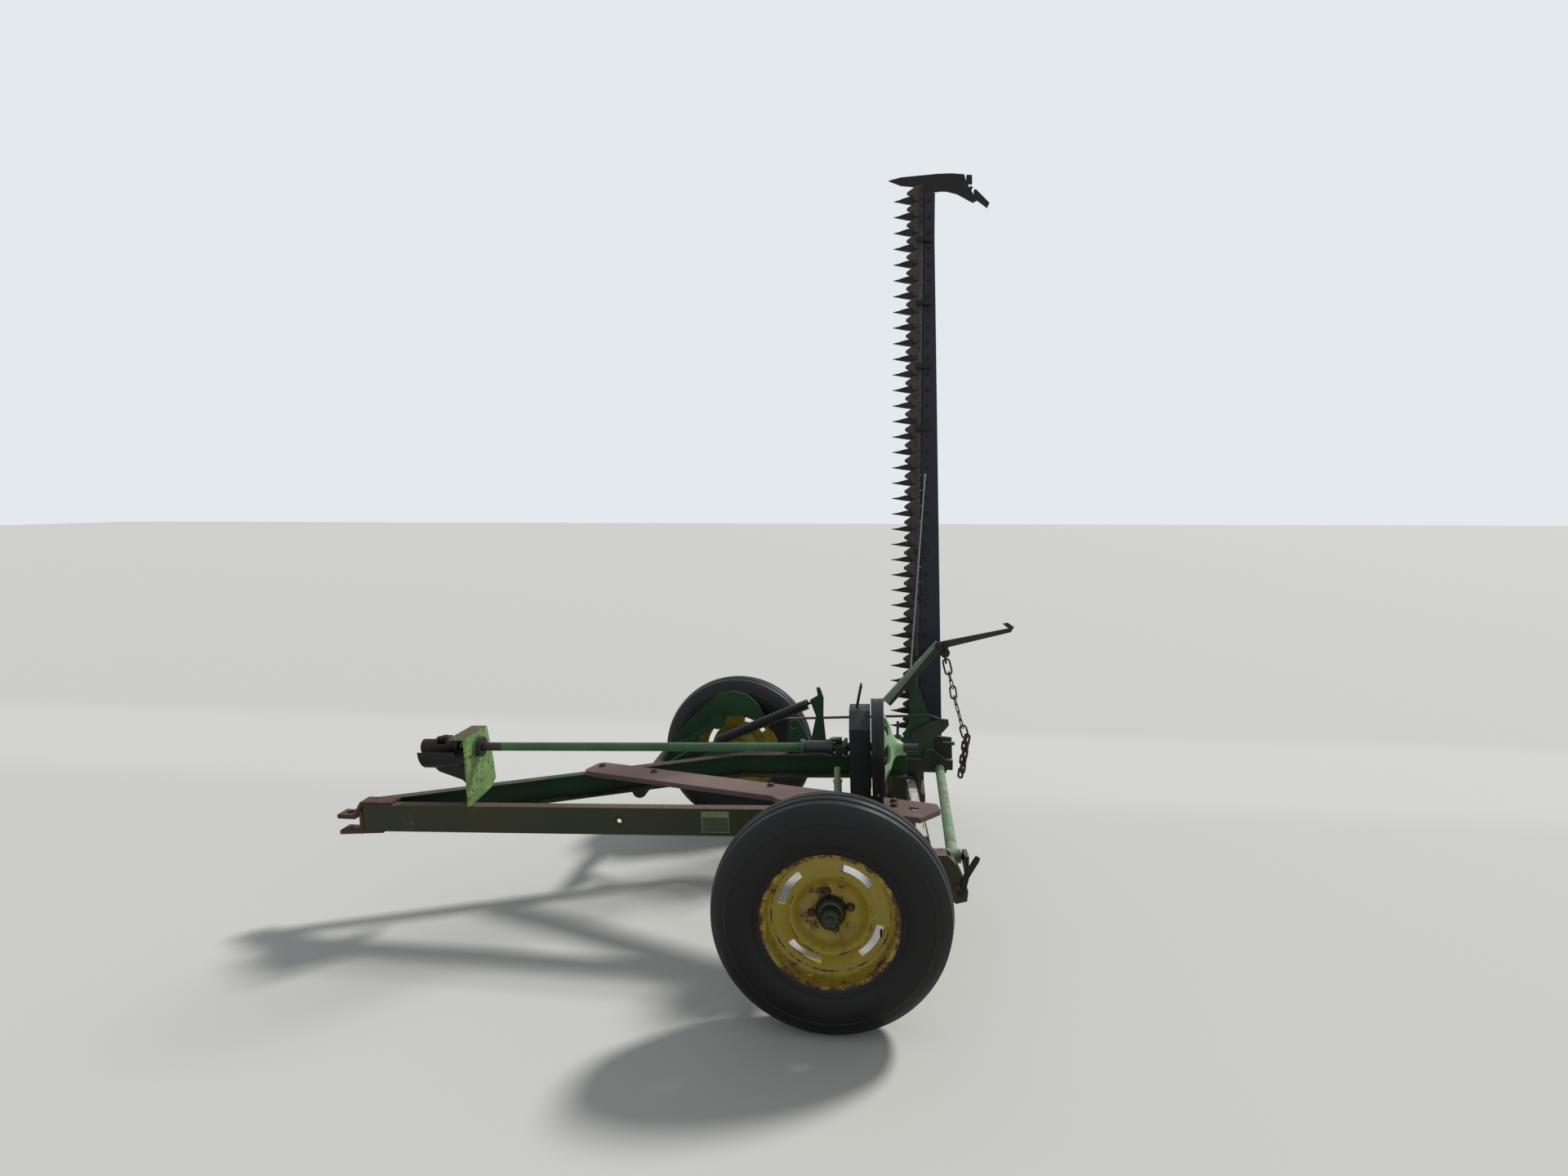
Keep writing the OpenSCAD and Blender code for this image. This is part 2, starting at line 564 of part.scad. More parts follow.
// Drag bar: the tube that carries the yoke and the cutter bar
yoke_y = 1015;
drag_end = [drag_x + 35, yoke_y, drag_h - 19];
module drag_bar() {
    color("yellowgreen") stand() difference() {
        union() {
            intersection() {
                rod([drag_x, -drag_y, drag_h], drag_end + [1, 30, -0.6], drag_r);
                block([drag_x - 60, -drag_y - 60, drag_h - 90], [drag_x + 120, yoke_y, drag_h + 60]);
            }
            translate([0, -drag_y, drag_h]) bar_x(drag_x - 28, drag_x + 28, 25);
        }
        translate([0, -drag_y, drag_h]) bar_x(drag_x - 29, drag_x + 29, drag_pin_r + fit);
    }
}
// Yoke: a casting over the pitman with two arms down to the hinge pins
ear_x = [pitman_x - 98, pitman_x + 32];
ear_t = 20;
yoke_low = drag_h - 26;
yoke_top = drag_h + 22;
beam_x = [ear_x[0], 2385];
module yoke_leg(x) difference() {
    along_x(x, x + ear_t) union() {
        polygon([[yoke_y, yoke_top], [yoke_y + 60, yoke_top], [hinge_y + 24, hinge_h + 16],
            [hinge_y - 26, hinge_h - 12], [yoke_y, yoke_low]]);
        translate([hinge_y, hinge_h]) circle(r = 30);
    }
    translate([rake_x, hinge_y, hinge_h]) rotate([0, -rake, 0]) bar_x(x - rake_x - 10, x - rake_x + ear_t + 10, 14 + fit);
}
module yoke() {
    z = yoke_top;
    color("darkolivegreen") stand() {
        block([beam_x[0], yoke_y, yoke_low], [beam_x[1], yoke_y + 60, z]);
        bar_x_at(beam_x[0], drag_end.x + 34, yoke_y + 30, drag_end.z, 30);
        along_y(yoke_y + 34, yoke_y + 46) polygon([[2296, z - 1], [2303, z + 108], [2380, z + 102], [beam_x[1], z - 1]]);
        along_y(yoke_y, yoke_y + 16) polygon([[2236, z - 1], [2254, z + 44], [2284, z + 52], [2330, z + 20], [2358, z - 1]]);
        bar_x_at(2336, beam_x[1] + 8, yoke_y + 26, z + 76, 9);
        for (x = ear_x) yoke_leg(x);
    }
}
module bar_x_at(x0, x1, y, z, r) translate([0, y, z]) bar_x(x0, x1, r);
// Upright coil on a bolt over the yoke, beside the standard
module float_spring() {
    color("dimgray") stand() translate([beam_x[0] + 30, yoke_y + 22, yoke_top]) {
        cylinder(h = 178, r = 6.7);
        cylinder(h = 8, r = 22);
        translate([0, 0, 100]) cylinder(h = 8, r = 20);
        translate([0, 0, 12]) rotate([0, -90, 0]) coil(84, 14, 4, 7);
    }
}
// Upright on the yoke and the lift arm that leans over it
lift_a = [2066, yoke_y + 6, yoke_top + 272];
lift_b = [2312, yoke_y + 6, yoke_top + 561];
lift_pivot = 168;
standard_eye = let(d = lift_b - lift_a) [lift_a.x + lift_pivot * d.x / norm(d), lift_a.z + lift_pivot * d.z / norm(d)];
module lift_standard() {
    z = yoke_top;
    color("darkgreen") stand() along_y(yoke_y + 18, yoke_y + 28) union() {
        translate(standard_eye) circle(r = 20);
        polygon([[2150, z], [2300, z], [2290, z + 128], [2277, z + 181], [2194, z + 405], [2156, z + 396],
            [2178, z + 315], [2181, z + 175], [2150, z + 121]]);
    }
}
module lift_arm() {
    d = lift_b - lift_a;
    color("darkgreen") stand() translate(lift_a) rotate([0, -atan2(d.z, d.x), 0]) {
        block([0, 0, -25], [norm(d), 8, 25]);
        block([0, -32, 17], [norm(d) - 40, 8, 25]);
        translate([lift_pivot, 0, 0]) bar_y(7, 12 - seat, 16);
    }
}
module hook_strap() {
    z = yoke_top;
    color("darkolivegreen") stand() along_y(yoke_y + 14 + seat, yoke_y + 24)
        polygon([[2296, z + 530], [2640, z + 622], [2655, z + 647], [2625, z + 667], [2600, z + 662], [2628, z + 640],
            [2296, z + 567]]);
}
// Runs of the chain: from and to behind the pin and height over the yoke, links, half width, wire
chain_runs = [[2338, 520, 2385, 320, 5, 11, 4.5, 0], [2385, 320, 2432, 158, 6, 8, 3, 90],
    [2432, 158, 2425, -90, 9, 8, 3, 90]];
module lift_chain() {
    y = yoke_y + 38;
    color("saddlebrown") stand() {
        for (c = chain_runs) for (i = [0:c[4] - 1])
            link([c[0] + (c[2] - c[0]) * i / c[4], y, yoke_top + c[1] + (c[3] - c[1]) * i / c[4]],
                [c[0] + (c[2] - c[0]) * (i + 1) / c[4], y, yoke_top + c[1] + (c[3] - c[1]) * (i + 1) / c[4]],
                c[5], c[6], c[7] + 90 * (i % 2));
        translate([2338.5, 0, yoke_top + 516]) bar_y(yoke_y + 24 + seat, y + 9, 4);
        translate([2338.5, 0, yoke_top + 516]) bar_y(yoke_y + 24 + seat, yoke_y + 28, 24);
    }
}
module tilt_lever() {
    z = yoke_top;
    color("darkolivegreen") stand() {
        translate([2222, 0, z + 108]) bar_y(yoke_y + 5, yoke_y + 18 - seat, 11);
        along_y(yoke_y - 0.3, yoke_y + 6) polygon([[2183, z + 109], [2187, z + 133], [2217, z + 152],
            [2302, z + 190], [2336, z + 202], [2359, z + 199], [2363, z + 171], [2337, z + 138], [2280, z + 92],
            [2211, z + 66]]);
    }
}

// Cutter bar, drawn level at the hinge: x to the rear, y outwards, z up
bar_x0 = tip_x + 149;
bar_len = first_guard + (guard_count - 0.5) * pitch;
bar_z = -knife_drop - 6;
module cutter_bar() {
    color("black") folded() translate([0, 0, bar_z - bar_t]) linear_extrude(bar_t)
        polygon([[bar_x0, 210], [tip_x + bar_back_in, 210], [tip_x + bar_back_out, bar_len], [bar_x0, bar_len]]);
}
function guard_y(i) = first_guard + i * pitch;
module guard_side() {
    z = -knife_drop;
    polygon([[tip_x, z - 6], [tip_x + 46, z + 9], [tip_x + 96, z + 9], [tip_x + 96, z + 2.8], [tip_x + 39, z + 2.8],
        [tip_x + 39, z - 2.8], [bar_x0 - seat, z - 2.8], [bar_x0 - seat, bar_z - bar_t - seat],
        [bar_x0 + 52, bar_z - bar_t - seat], [bar_x0 + 52, bar_z - bar_t - 8], [tip_x + 70, bar_z - bar_t - 4]]);
}
module guards() {
    color("black") folded() for (i = [0:guard_count - 1]) intersection() {
        along_y(guard_y(i) - 37, guard_y(i) + 37) guard_side();
        translate([0, guard_y(i), -120]) linear_extrude(120)
            polygon([[tip_x - 1, -3], [tip_x + 32, -8], [tip_x + 66, -13], [tip_x + 98, -17], [tip_x + 106, -26],
                [tip_x + 122, -37], [tip_x + 210, -37], [tip_x + 210, 37], [tip_x + 122, 37], [tip_x + 106, 26],
                [tip_x + 98, 17], [tip_x + 66, 12], [tip_x + 32, 3], [tip_x - 1, -1]]);
    }
}
module bar_clips() {
    z = -knife_drop;
    color("black") folded() for (i = [1, 5, 9, 12, 20, 24, 28, 32])
        translate([0, guard_y(i) + 38, 0]) along_y(-12, 12) polygon([[tip_x + 112, z + 6], [bar_x0 + 4, z + 6],
            [bar_x0 + 4, bar_z + seat], [bar_x0 + 40, bar_z + seat], [bar_x0 + 40, z + 2], [bar_x0 + 8, z + 14],
            [tip_x + 112, z + 12]]);
}
// Inner shoe: sole plate rolled up round the hinge, with the ears of the hinge
shoe_x0 = tip_x - 40;
shoe_x1 = ear_x[1] + 2 * ear_t + 5;
heel_r = hinge_h - (rake_x - shoe_x0) * sin(rake);
module inner_shoe() {
    color("darkolivegreen") folded() {
        difference() {
            along_x(shoe_x0, shoe_x1) difference() {
                union() {
                    circle(r = heel_r, $fn = 96);
                    translate([0, -heel_r]) square([222, 40]);
                }
                circle(r = heel_r - 9, $fn = 96);
                rotate(-8) translate([-150, 0]) square([150, 150]);
                translate([0, -0.01]) square([400, 150]);
                translate([0, -heel_r + 9]) square([230, 120]);
            }
            along_x(pitman_x - 40, pitman_x + 40) rotate(35) translate([-150, 0]) square([150, 150]);
        }
        for (x = [ear_x[0] - ear_t - 5, ear_x[1] + ear_t + 5]) along_x(x, x + ear_t) union() {
            circle(r = 28);
            polygon([[-28, 0], [28, 0], [60, -heel_r + 5], [0, -heel_r + 5]]);
        }
        bar_x(ear_x[0] - ear_t, ear_x[0] + ear_t + 6, 14);
        bar_x(ear_x[1] + 1, ear_x[1] + 2 * ear_t, 14);
        for (x = [shoe_x0 + 60, pitman_x + 40]) block([x, 190, -heel_r + 5], [x + 14, 212, bar_z - bar_t - 8.5]);
        block([bar_x0, 212, -heel_r + 5], [shoe_x1, 222, bar_z - bar_t - seat]);
        block([bar_x0, 212, bar_z - bar_t - 20], [tip_x + bar_back_in - 4, 232, bar_z - bar_t - seat]);
    }
}
module outer_shoe() {
    t = bar_t;
    color("black") folded() translate([tip_x, bar_len, bar_z - t]) {
        linear_extrude(t) polygon([[-24, 63], [36, 76], [91, 79], [212, 85], [278, 84], [339, 77], [349, 41], [384, -20],
            [399, 0], [461, -64], [451, -86], [402, -48], [384, -58], [368, -50], [307, -14], [257, 1], [224, 3],
            [205, seat], [108, seat], [97, 30], [36, 38]]);
        translate([0, 0, -22]) linear_extrude(23) polygon([[60, 76], [212, 84], [278, 83], [330, 76], [330, 68],
            [278, 75], [212, 76], [60, 68]]);
        translate([0, 0, -6]) linear_extrude(18) polygon([[350, 74], [376, 72], [378, 32], [349, 34]]);
        for (p = [[372, 10], [392, -6]]) translate([p.x, p.y, 0]) cylinder(h = t + 6, r = 7);
    }
}
module stay_rod() {
    p = [tip_x + 164, 1600, bar_z + 6 + seat];
    q = [tip_x + 100, 640, 10];
    color("lightgray") folded() {
        rod(p, q, 4);
        rod(p, p + [1, 14, 0], 6);
    }
}
// Knife: riveted sections, back bar and the head with its ball
module knife() {
    z = -knife_drop;
    color("dimgray") folded() translate([0, knife_offset, 0]) {
        for (i = [0:guard_count - 1]) translate([0, guard_y(i), z - 1.5]) linear_extrude(3)
            polygon([[tip_x + 64, -5], [tip_x + 108, -35], [tip_x + 142, -37.8], [tip_x + 142, 37.8], [tip_x + 108, 35],
                [tip_x + 64, 5]]);
        block([tip_x + 122, 120, z + 1.4], [tip_x + 142, guard_y(guard_count - 1) + 37, z + 5.5]);
        x = pit_a.x - 10;
        y = ball_o - knife_offset;
        block([x, y - 20, z - 1.5], [tip_x + 142, 165, z + 9]);
        block([x, y - 9, z + 8], [x + 20, y + 9, ball_z]);
        translate([pit_a.x, y, ball_z]) sphere(r = ball_r);
    }
}

// Wheels: outlines in (radius, distance from the wheel's middle), turned about the axle
module turned(y) translate([0, y, 0]) rotate([-90, 0, 0]) rotate_extrude($fn = 72) children();
module tyre_shape() {
    w = tyre_w / 2;
    h = rim_w / 2;
    half = [[rim_r - 8.7, h - 7.6], [rim_r + 0.4, h - 4.4], [rim_r + 0.4, h], [rim_r + 14, h + 5], [tyre_r - 104, w - 1],
        [tyre_r - 76, w], [tyre_r - 48, w - 6], [tyre_r - 26, w - 18], [tyre_r - 9, w - 38], [tyre_r - 1, w - 60]];
    polygon(concat([for (p = half) [p.x, -p.y]], [for (i = [len(half) - 1:-1:0]) half[i]]));
}
// Rim and dished disc in one outline, the outer side towards the negative
module wheel_shape() {
    h = rim_w / 2;
    polygon([[rim_r - 12, -h], [rim_r, -h], [rim_r, -h + 4], [rim_r - 9, -h + 7], [rim_r - 9, h - 7], [rim_r, h - 4],
        [rim_r, h], [rim_r - 12, h], [rim_r - 17, 10], [rim_r - 30, -6], [134, -8], [124, -14], [112, -8], [95, -22],
        [45, -20], [45, -26], [93, -30], [110, -14], [124, -22], [136, -14], [rim_r - 30, -12], [rim_r - 17, -22]]);
}
module hub_shape() {
    polygon([[0, 62], [24, 62], [34, 48], [60, 48], [60, 28], [46, 20], [46, -48], [38, -60], [24, -66], [0, -68]]);
}
module wheel() {
    difference() {
        turned(0) wheel_shape();
        for (a = [59:90:329]) rotate([0, -a - 21, 0]) rotate([-90, 0, 0]) translate([0, 0, -30])
            rotate_extrude(angle = 43) translate([138, 0]) square([23, 40]);
    }
    difference() {
        turned(0) hub_shape();
        bar_y(-30, 200, spindle_r + fit);
    }
}
module left_tyre() color("black") stand() translate([left_x, 0, tyre_r]) turned(-left_y) tyre_shape();
module right_tyre() color("black") stand() translate([right_x, 0, tyre_r]) turned(right_y) tyre_shape();
module left_wheel() color("gold") stand() translate([left_x, -left_y, tyre_r]) wheel();
module right_wheel() color("gold") stand() translate([right_x, right_y, tyre_r]) mirror([0, 1, 0]) wheel();

tongue_left();
tongue_right();
hitch_clevis();
pto_support();
front_bearing();
diagonal_brace();
rear_beam();
left_axle();
arm_tube();
right_arm();
counter_spring();
spring_lever();
control_rod();
belt_shield();
belts();
crank_hanger();
drag_bracket();
elbow_post();
bell_guard();
line_shaft();
pto_yoke();
drive_sheave();
crank_pulley();
crank_wheel();
pitman();
pitman_straps();
drag_bar();
yoke();
float_spring();
lift_standard();
lift_arm();
hook_strap();
lift_chain();
tilt_lever();
cutter_bar();
guards();
bar_clips();
inner_shoe();
outer_shoe();
stay_rod();
knife();
left_tyre();
left_wheel();
right_tyre();
right_wheel();
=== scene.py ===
import json
import math

import bmesh
import bpy
from mathutils import Matrix, Vector


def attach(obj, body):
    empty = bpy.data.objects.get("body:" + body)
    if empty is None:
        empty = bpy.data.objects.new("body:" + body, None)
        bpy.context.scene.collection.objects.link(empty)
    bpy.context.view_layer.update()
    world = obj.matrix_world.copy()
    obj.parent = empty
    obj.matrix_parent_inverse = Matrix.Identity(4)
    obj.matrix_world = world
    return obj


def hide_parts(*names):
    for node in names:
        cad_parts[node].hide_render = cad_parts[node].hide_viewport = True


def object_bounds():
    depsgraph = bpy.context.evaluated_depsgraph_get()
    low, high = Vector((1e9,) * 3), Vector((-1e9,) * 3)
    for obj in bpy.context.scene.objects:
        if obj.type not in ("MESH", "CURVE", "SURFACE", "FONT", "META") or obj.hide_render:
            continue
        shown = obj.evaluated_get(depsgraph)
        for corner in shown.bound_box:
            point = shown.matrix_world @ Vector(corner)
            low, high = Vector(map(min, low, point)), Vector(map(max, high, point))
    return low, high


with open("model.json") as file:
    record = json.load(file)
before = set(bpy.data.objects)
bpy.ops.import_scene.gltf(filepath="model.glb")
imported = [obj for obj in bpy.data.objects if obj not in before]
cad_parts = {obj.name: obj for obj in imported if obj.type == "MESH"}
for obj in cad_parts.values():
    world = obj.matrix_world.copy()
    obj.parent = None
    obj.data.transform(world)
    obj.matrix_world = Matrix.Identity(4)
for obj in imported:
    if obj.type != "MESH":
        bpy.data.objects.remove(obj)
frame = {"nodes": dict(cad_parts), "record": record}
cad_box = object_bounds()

# The camera: it stands beside the left wheel at chest height, with the wide lens of a hand-held camera,
# and looks across the mower, a little forward and a little down.
camera_down, camera_left = 6.164, 6.2
camera = bpy.data.objects.new("camera", bpy.data.cameras.new("camera"))
camera.data.lens = 18.75
camera.data.sensor_width = 36
camera.location = (1.992, -2.8425, 1.237)
camera.rotation_euler = (math.radians(90 - camera_down), 0, math.radians(camera_left))
bpy.context.scene.collection.objects.link(camera)
bpy.context.scene.camera = camera
bpy.context.scene.view_settings.view_transform = "Standard"


# The studio: a pale matt floor that the tyres and the heel of the shoe stand on, a pale sky and one
# broad lamp behind and to the right, so that tops are bright and the near sides are in soft shade. Past
# the shoe the floor falls away like the bank of a ditch, as the bar folds down below level.
def linear(hex_colour):
    """An sRGB hex colour as the linear RGBA that shaders take."""
    parts = [int(hex_colour[i:i + 2], 16) / 255 for i in (1, 3, 5)]
    return tuple(c / 12.92 if c <= 0.04045 else ((c + 0.055) / 1.055) ** 2.4 for c in parts) + (1,)


def feed(tree, node, links):
    """Gives inputs a value, or the output that feeds them. A node stands for its first live output."""
    for key, value in links.items():
        if isinstance(value, bpy.types.Node):
            value = next(socket for socket in value.outputs if socket.enabled)
        if isinstance(value, bpy.types.NodeSocket):
            tree.links.new(value, node.inputs[key])
        else:
            node.inputs[key].default_value = value


def add(tree, kind, links=None, **settings):
    """Adds a node with its settings and with what feeds its inputs."""
    node = tree.nodes.new(kind)
    for key, value in settings.items():
        setattr(node, key, value)
    feed(tree, node, links or {})
    return node


def bare_material(name):
    """A new material with its tree and its shader."""
    material = bpy.data.materials.new(name)
    material.use_nodes = True
    return material, material.node_tree, material.node_tree.nodes["Principled BSDF"]


def placed(name, mesh):
    """An object of a mesh whose place is already in the mesh."""
    item = bpy.data.objects.new(name, mesh)
    bpy.context.scene.collection.objects.link(item)
    return item


ground = cad_box[0][2]
floor_half = 70
bank_from, bank_to, bank_slope, bank_round, bank_steps = 1.45, 4.50, 0.170, 0.22, 4


def ramp(past):
    """How far a slope of one has gone, with its start rounded over bank_round to each side."""
    return max(0, past) if abs(past) > bank_round else (past + bank_round) ** 2 / (4 * bank_round)


bends = [edge + bank_round * k / bank_steps for edge in (bank_from, bank_to)
         for k in range(-bank_steps, bank_steps + 1)]
floor_y = [-floor_half, *bends, floor_half]
floor_mesh = bpy.data.meshes.new("floor")
floor_mesh.from_pydata([(x, y, ground - bank_slope * (ramp(y - bank_from) - ramp(y - bank_to)))
                        for y in floor_y for x in (-floor_half, floor_half)], [],
                       [(i, i + 1, i + 3, i + 2) for i in range(0, 2 * len(floor_y) - 2, 2)])
# Matt paper: it takes the shadow and gives no shine
floor_paper, tree, shader = bare_material("studio_paper")
feed(tree, shader, {"Base Color": linear("#CFCDC6"), "Roughness": 0.95})
floor_mesh.materials.append(floor_paper)
placed("floor", floor_mesh)

world = bpy.data.worlds.new("studio")
world.use_nodes = True
sky = world.node_tree
daylight = sky.nodes["Background"]
feed(sky, daylight, {"Color": linear("#DDE4EC"), "Strength": 0.44})
rays = add(sky, "ShaderNodeLightPath")
seen = add(sky, "ShaderNodeMath", {0: rays.outputs["Is Camera Ray"], 1: rays.outputs["Is Glossy Ray"]},
           operation="MAXIMUM")
backdrop = add(sky, "ShaderNodeBackground", {"Color": linear("#E4E9EE"), "Strength": 1.0})
both = add(sky, "ShaderNodeMixShader", {0: seen, 1: daylight, 2: backdrop})
feed(sky, sky.nodes["World Output"], {"Surface": both})
bpy.context.scene.world = world
lamp = bpy.data.objects.new("lamp", bpy.data.lights.new("lamp", "SUN"))
lamp.data.energy = 2.7
lamp.data.angle = math.radians(9)
lamp.rotation_euler = (math.radians(-27), math.radians(35), 0)
bpy.context.scene.collection.objects.link(lamp)

# The tongue and frame: two rolled steel channels, a cross beam, the left axle and the tube that carries
# the right wheel's arm. They are welded up and painted; the enamel has gone chalky and rust comes through
# on the faces that look up and along the edges. Round the open hole in the left channel a dark ring is
# painted: partly a rust stain, partly painted shade for the dark of the hole.
mm = 0.001
# Grains of rust are drawn about 5 mm wide, coarser than real ones, so that they show
grains_per_metre, worn_edge, rust_depth = 190.0, 3.5 * mm, 0.7 * mm


def enamel(name, paint, faded, rust_and_light=("#4A3530", "#6E5048"), limit=0.80, top=0.22, wear=0.30, patch=6.0,
           gloss=0.50, shine=0.5, bands=()):
    """Old enamel or scale on steel. limit is how seldom rust breaks through, top and wear how much more
    on faces that look up and along edges, patch the number of rust clouds to the metre. The rust colours
    are the pair that breaks through: real rust on most finishes, but on the lift arm and the yoke they are
    pale and paint light on the tops. bands are (way, middle, half width, colour) stretches that have
    another colour."""
    material, tree, shader = bare_material(name)
    spot = add(tree, "ShaderNodeTexCoord")
    place = spot.outputs["Object"]
    cloud = add(tree, "ShaderNodeTexNoise", {"Vector": place, "Scale": patch, "Detail": 7.0,
                                             "Roughness": 0.64})
    fade = add(tree, "ShaderNodeTexNoise", {"Vector": place, "Scale": patch * 0.45, "Detail": 5.0,
                                            "Roughness": 0.58})
    grit = add(tree, "ShaderNodeTexNoise", {"Vector": place, "Scale": grains_per_metre, "Detail": 3.0})
    facing = add(tree, "ShaderNodeSeparateXYZ", {0: spot.outputs["Normal"]})
    upward = add(tree, "ShaderNodeMapRange", {0: facing.outputs["Z"], 1: 0.45, 2: 0.90, 3: 0.0, 4: top})
    rounded = add(tree, "ShaderNodeBevel", {"Radius": worn_edge}, samples=4)
    flat = add(tree, "ShaderNodeNewGeometry").outputs["Normal"]
    alike = add(tree, "ShaderNodeVectorMath", {0: rounded, 1: flat}, operation="DOT_PRODUCT")
    edge = add(tree, "ShaderNodeMapRange", {0: alike, 1: 0.985, 2: 0.86, 3: 0.0, 4: wear})
    speckled = add(tree, "ShaderNodeMath", {0: grit, 1: 0.30, 2: cloud}, operation="MULTIPLY_ADD")
    exposed = add(tree, "ShaderNodeMath", {0: upward, 1: edge}, operation="ADD")
    weather = add(tree, "ShaderNodeMath", {0: speckled, 1: exposed}, operation="ADD")
    rusty = add(tree, "ShaderNodeMapRange", {0: weather, 1: limit, 2: limit + 0.07})
    chalk = add(tree, "ShaderNodeMapRange", {0: fade, 1: 0.38, 2: 0.66})
    coat = add(tree, "ShaderNodeMix", {0: chalk, 6: linear(paint), 7: linear(faded)}, data_type="RGBA")
    for way, middle, half_width, tint in bands:
        along = add(tree, "ShaderNodeVectorMath", {0: place, 1: way}, operation="DOT_PRODUCT")
        within = add(tree, "ShaderNodeMath", {0: along, 1: middle, 2: half_width}, operation="COMPARE")
        coat = add(tree, "ShaderNodeMix", {0: within, 6: coat, 7: linear(tint)}, data_type="RGBA")
    grain = add(tree, "ShaderNodeMapRange", {0: grit, 1: 0.34, 2: 0.66})
    # Where the rust colours are pale, this mix paints light on tops and edges: painted highlight
    oxide = add(tree, "ShaderNodeMix", {0: grain, 6: linear(rust_and_light[0]), 7: linear(rust_and_light[1])}, data_type="RGBA")
    colour = add(tree, "ShaderNodeMix", {0: rusty, 6: coat, 7: oxide}, data_type="RGBA")
    rough = add(tree, "ShaderNodeMapRange", {0: rusty, 3: gloss, 4: 0.88})
    height = add(tree, "ShaderNodeMath", {0: rusty, 1: grit, 2: fade}, operation="MULTIPLY_ADD")
    bump = add(tree, "ShaderNodeBump", {"Strength": 0.35, "Distance": rust_depth, "Height": height,
                                        "Normal": rounded})
    feed(tree, shader, {"Base Color": colour, "Roughness": rough, "Normal": bump,
                        "Specular IOR Level": shine})
    return material


def tinted(material, factor, tint):
    """Lays a tint over a material's own colour where the factor is one."""
    tree = material.node_tree
    shader = tree.nodes["Principled BSDF"]
    clean = shader.inputs["Base Color"].links[0].from_socket
    colour = add(tree, "ShaderNodeMix", {0: factor, 6: clean, 7: linear(tint)}, data_type="RGBA")
    feed(tree, shader, {"Base Color": colour})


body_of = {node: body for body, nodes in frame["record"]["behaviour"]["bodies"].items() for node in nodes}
slot_of = {row["node"]: row["material_slot"] for row in frame["record"]["subparts"]}


def fastened(piece, body, replaced=None):
    """Has a piece ride on a body, and stand in for the CAD node it replaces."""
    if replaced:
        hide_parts(replaced)
    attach(piece, body)
    return piece


def smoothed(mesh, sharp):
    """Shades a mesh smooth, but for edges that turn by more than so many degrees."""
    for face in mesh.polygons:
        face.use_smooth = True
    mesh.set_sharp_from_angle(angle=math.radians(sharp))


def baked(item):
    """The plain mesh of an object once its modifiers have run."""
    return bpy.data.meshes.new_from_object(item.evaluated_get(bpy.context.evaluated_depsgraph_get()))


def rounded_copy(name, finish, width=1.2 * mm, sharp=34):
    """Stands in for a CAD node: the same shape, with its edges broken as rolled or cast steel has them."""
    shape = bmesh.new()
    shape.from_mesh(frame["nodes"][name].data)
    bmesh.ops.remove_doubles(shape, verts=shape.verts, dist=2e-6)
    bmesh.ops.dissolve_limit(shape, angle_limit=math.radians(0.6), verts=shape.verts, edges=shape.edges)
    mesh = bpy.data.meshes.new(name + "_finish")
    shape.to_mesh(mesh)
    shape.free()
    smoothed(mesh, sharp)
    piece = placed(name + "_finish", mesh)
    if width:
        edges = piece.modifiers.new("edges", "BEVEL")
        edges.width = width
        edges.segments = 2
        edges.limit_method = "ANGLE"
        edges.angle_limit = math.radians(sharp)
        edges.harden_normals = True
        made = baked(piece)
        piece.modifiers.clear()
        piece.data = made
    piece.data.materials.clear()
    piece.data.materials.append(finish)
    return fastened(piece, body_of[name], name)


# Chalky dark green enamel: a dull sheen, with rosy rust on the tops
frame_green = enamel("frame_enamel", "#2A3219", "#37361F", rust_and_light=("#4F3F38", "#7A665E"), limit=0.84,
                     top=0.42, wear=0.14, shine=0.3)
# The same enamel painted darker and deeper green: painted shade for the parts that lie in shadow
shade_painted_green = enamel("shade_painted_enamel", "#12301A", "#1C3F22", rust_and_light=("#4A3A33", "#756058"), limit=0.86,
                    top=0.26, wear=0.18, shine=0.25)
tongue_fall = math.radians(1.8)
fallen = Matrix.Rotation(-tongue_fall, 4, "Y") @ Matrix.Scale(mm, 4)
rail_y = -35
hole = fallen @ Vector((1079, rail_y, 30))
# The dark ring round the hole: partly a rust stain, partly painted shade for the dark of the hole
hole_ring_r, hole_ring_fray, hole_ring_soft = 34 * mm, 34 * mm, 4 * mm
tree = frame_green.node_tree
place = add(tree, "ShaderNodeTexCoord").outputs["Object"]
ragged = add(tree, "ShaderNodeTexNoise", {"Vector": place, "Scale": 60.0, "Detail": 4.0})
away = add(tree, "ShaderNodeVectorMath", {0: place, 1: hole}, operation="DISTANCE")
reach = add(tree, "ShaderNodeMath", {0: ragged, 1: hole_ring_fray, 2: away}, operation="MULTIPLY_ADD")
near_hole = add(tree, "ShaderNodeMapRange", {0: reach, 1: hole_ring_r + hole_ring_soft, 2: hole_ring_r - hole_ring_soft})
tinted(frame_green, near_hole, "#1C130D")
for name in ("tongue_left", "left_axle"):
    rounded_copy(name, frame_green)
for name in ("tongue_right", "rear_beam", "arm_tube"):
    rounded_copy(name, shade_painted_green)

# The hitch: a flat lower lip and a cranked upper strap, forged, welded to the channels' ends. The paint
# has gone: bare rusted forging is brown all over and matt, with no sheen left.
hitch_rust = enamel("hitch_rust", "#3A2C26", "#574540", limit=0.66, top=0.1, wear=0.1, patch=14, gloss=0.8,
                    shine=0.3)
rounded_copy("hitch_clevis", hitch_rust, 1.8 * mm)


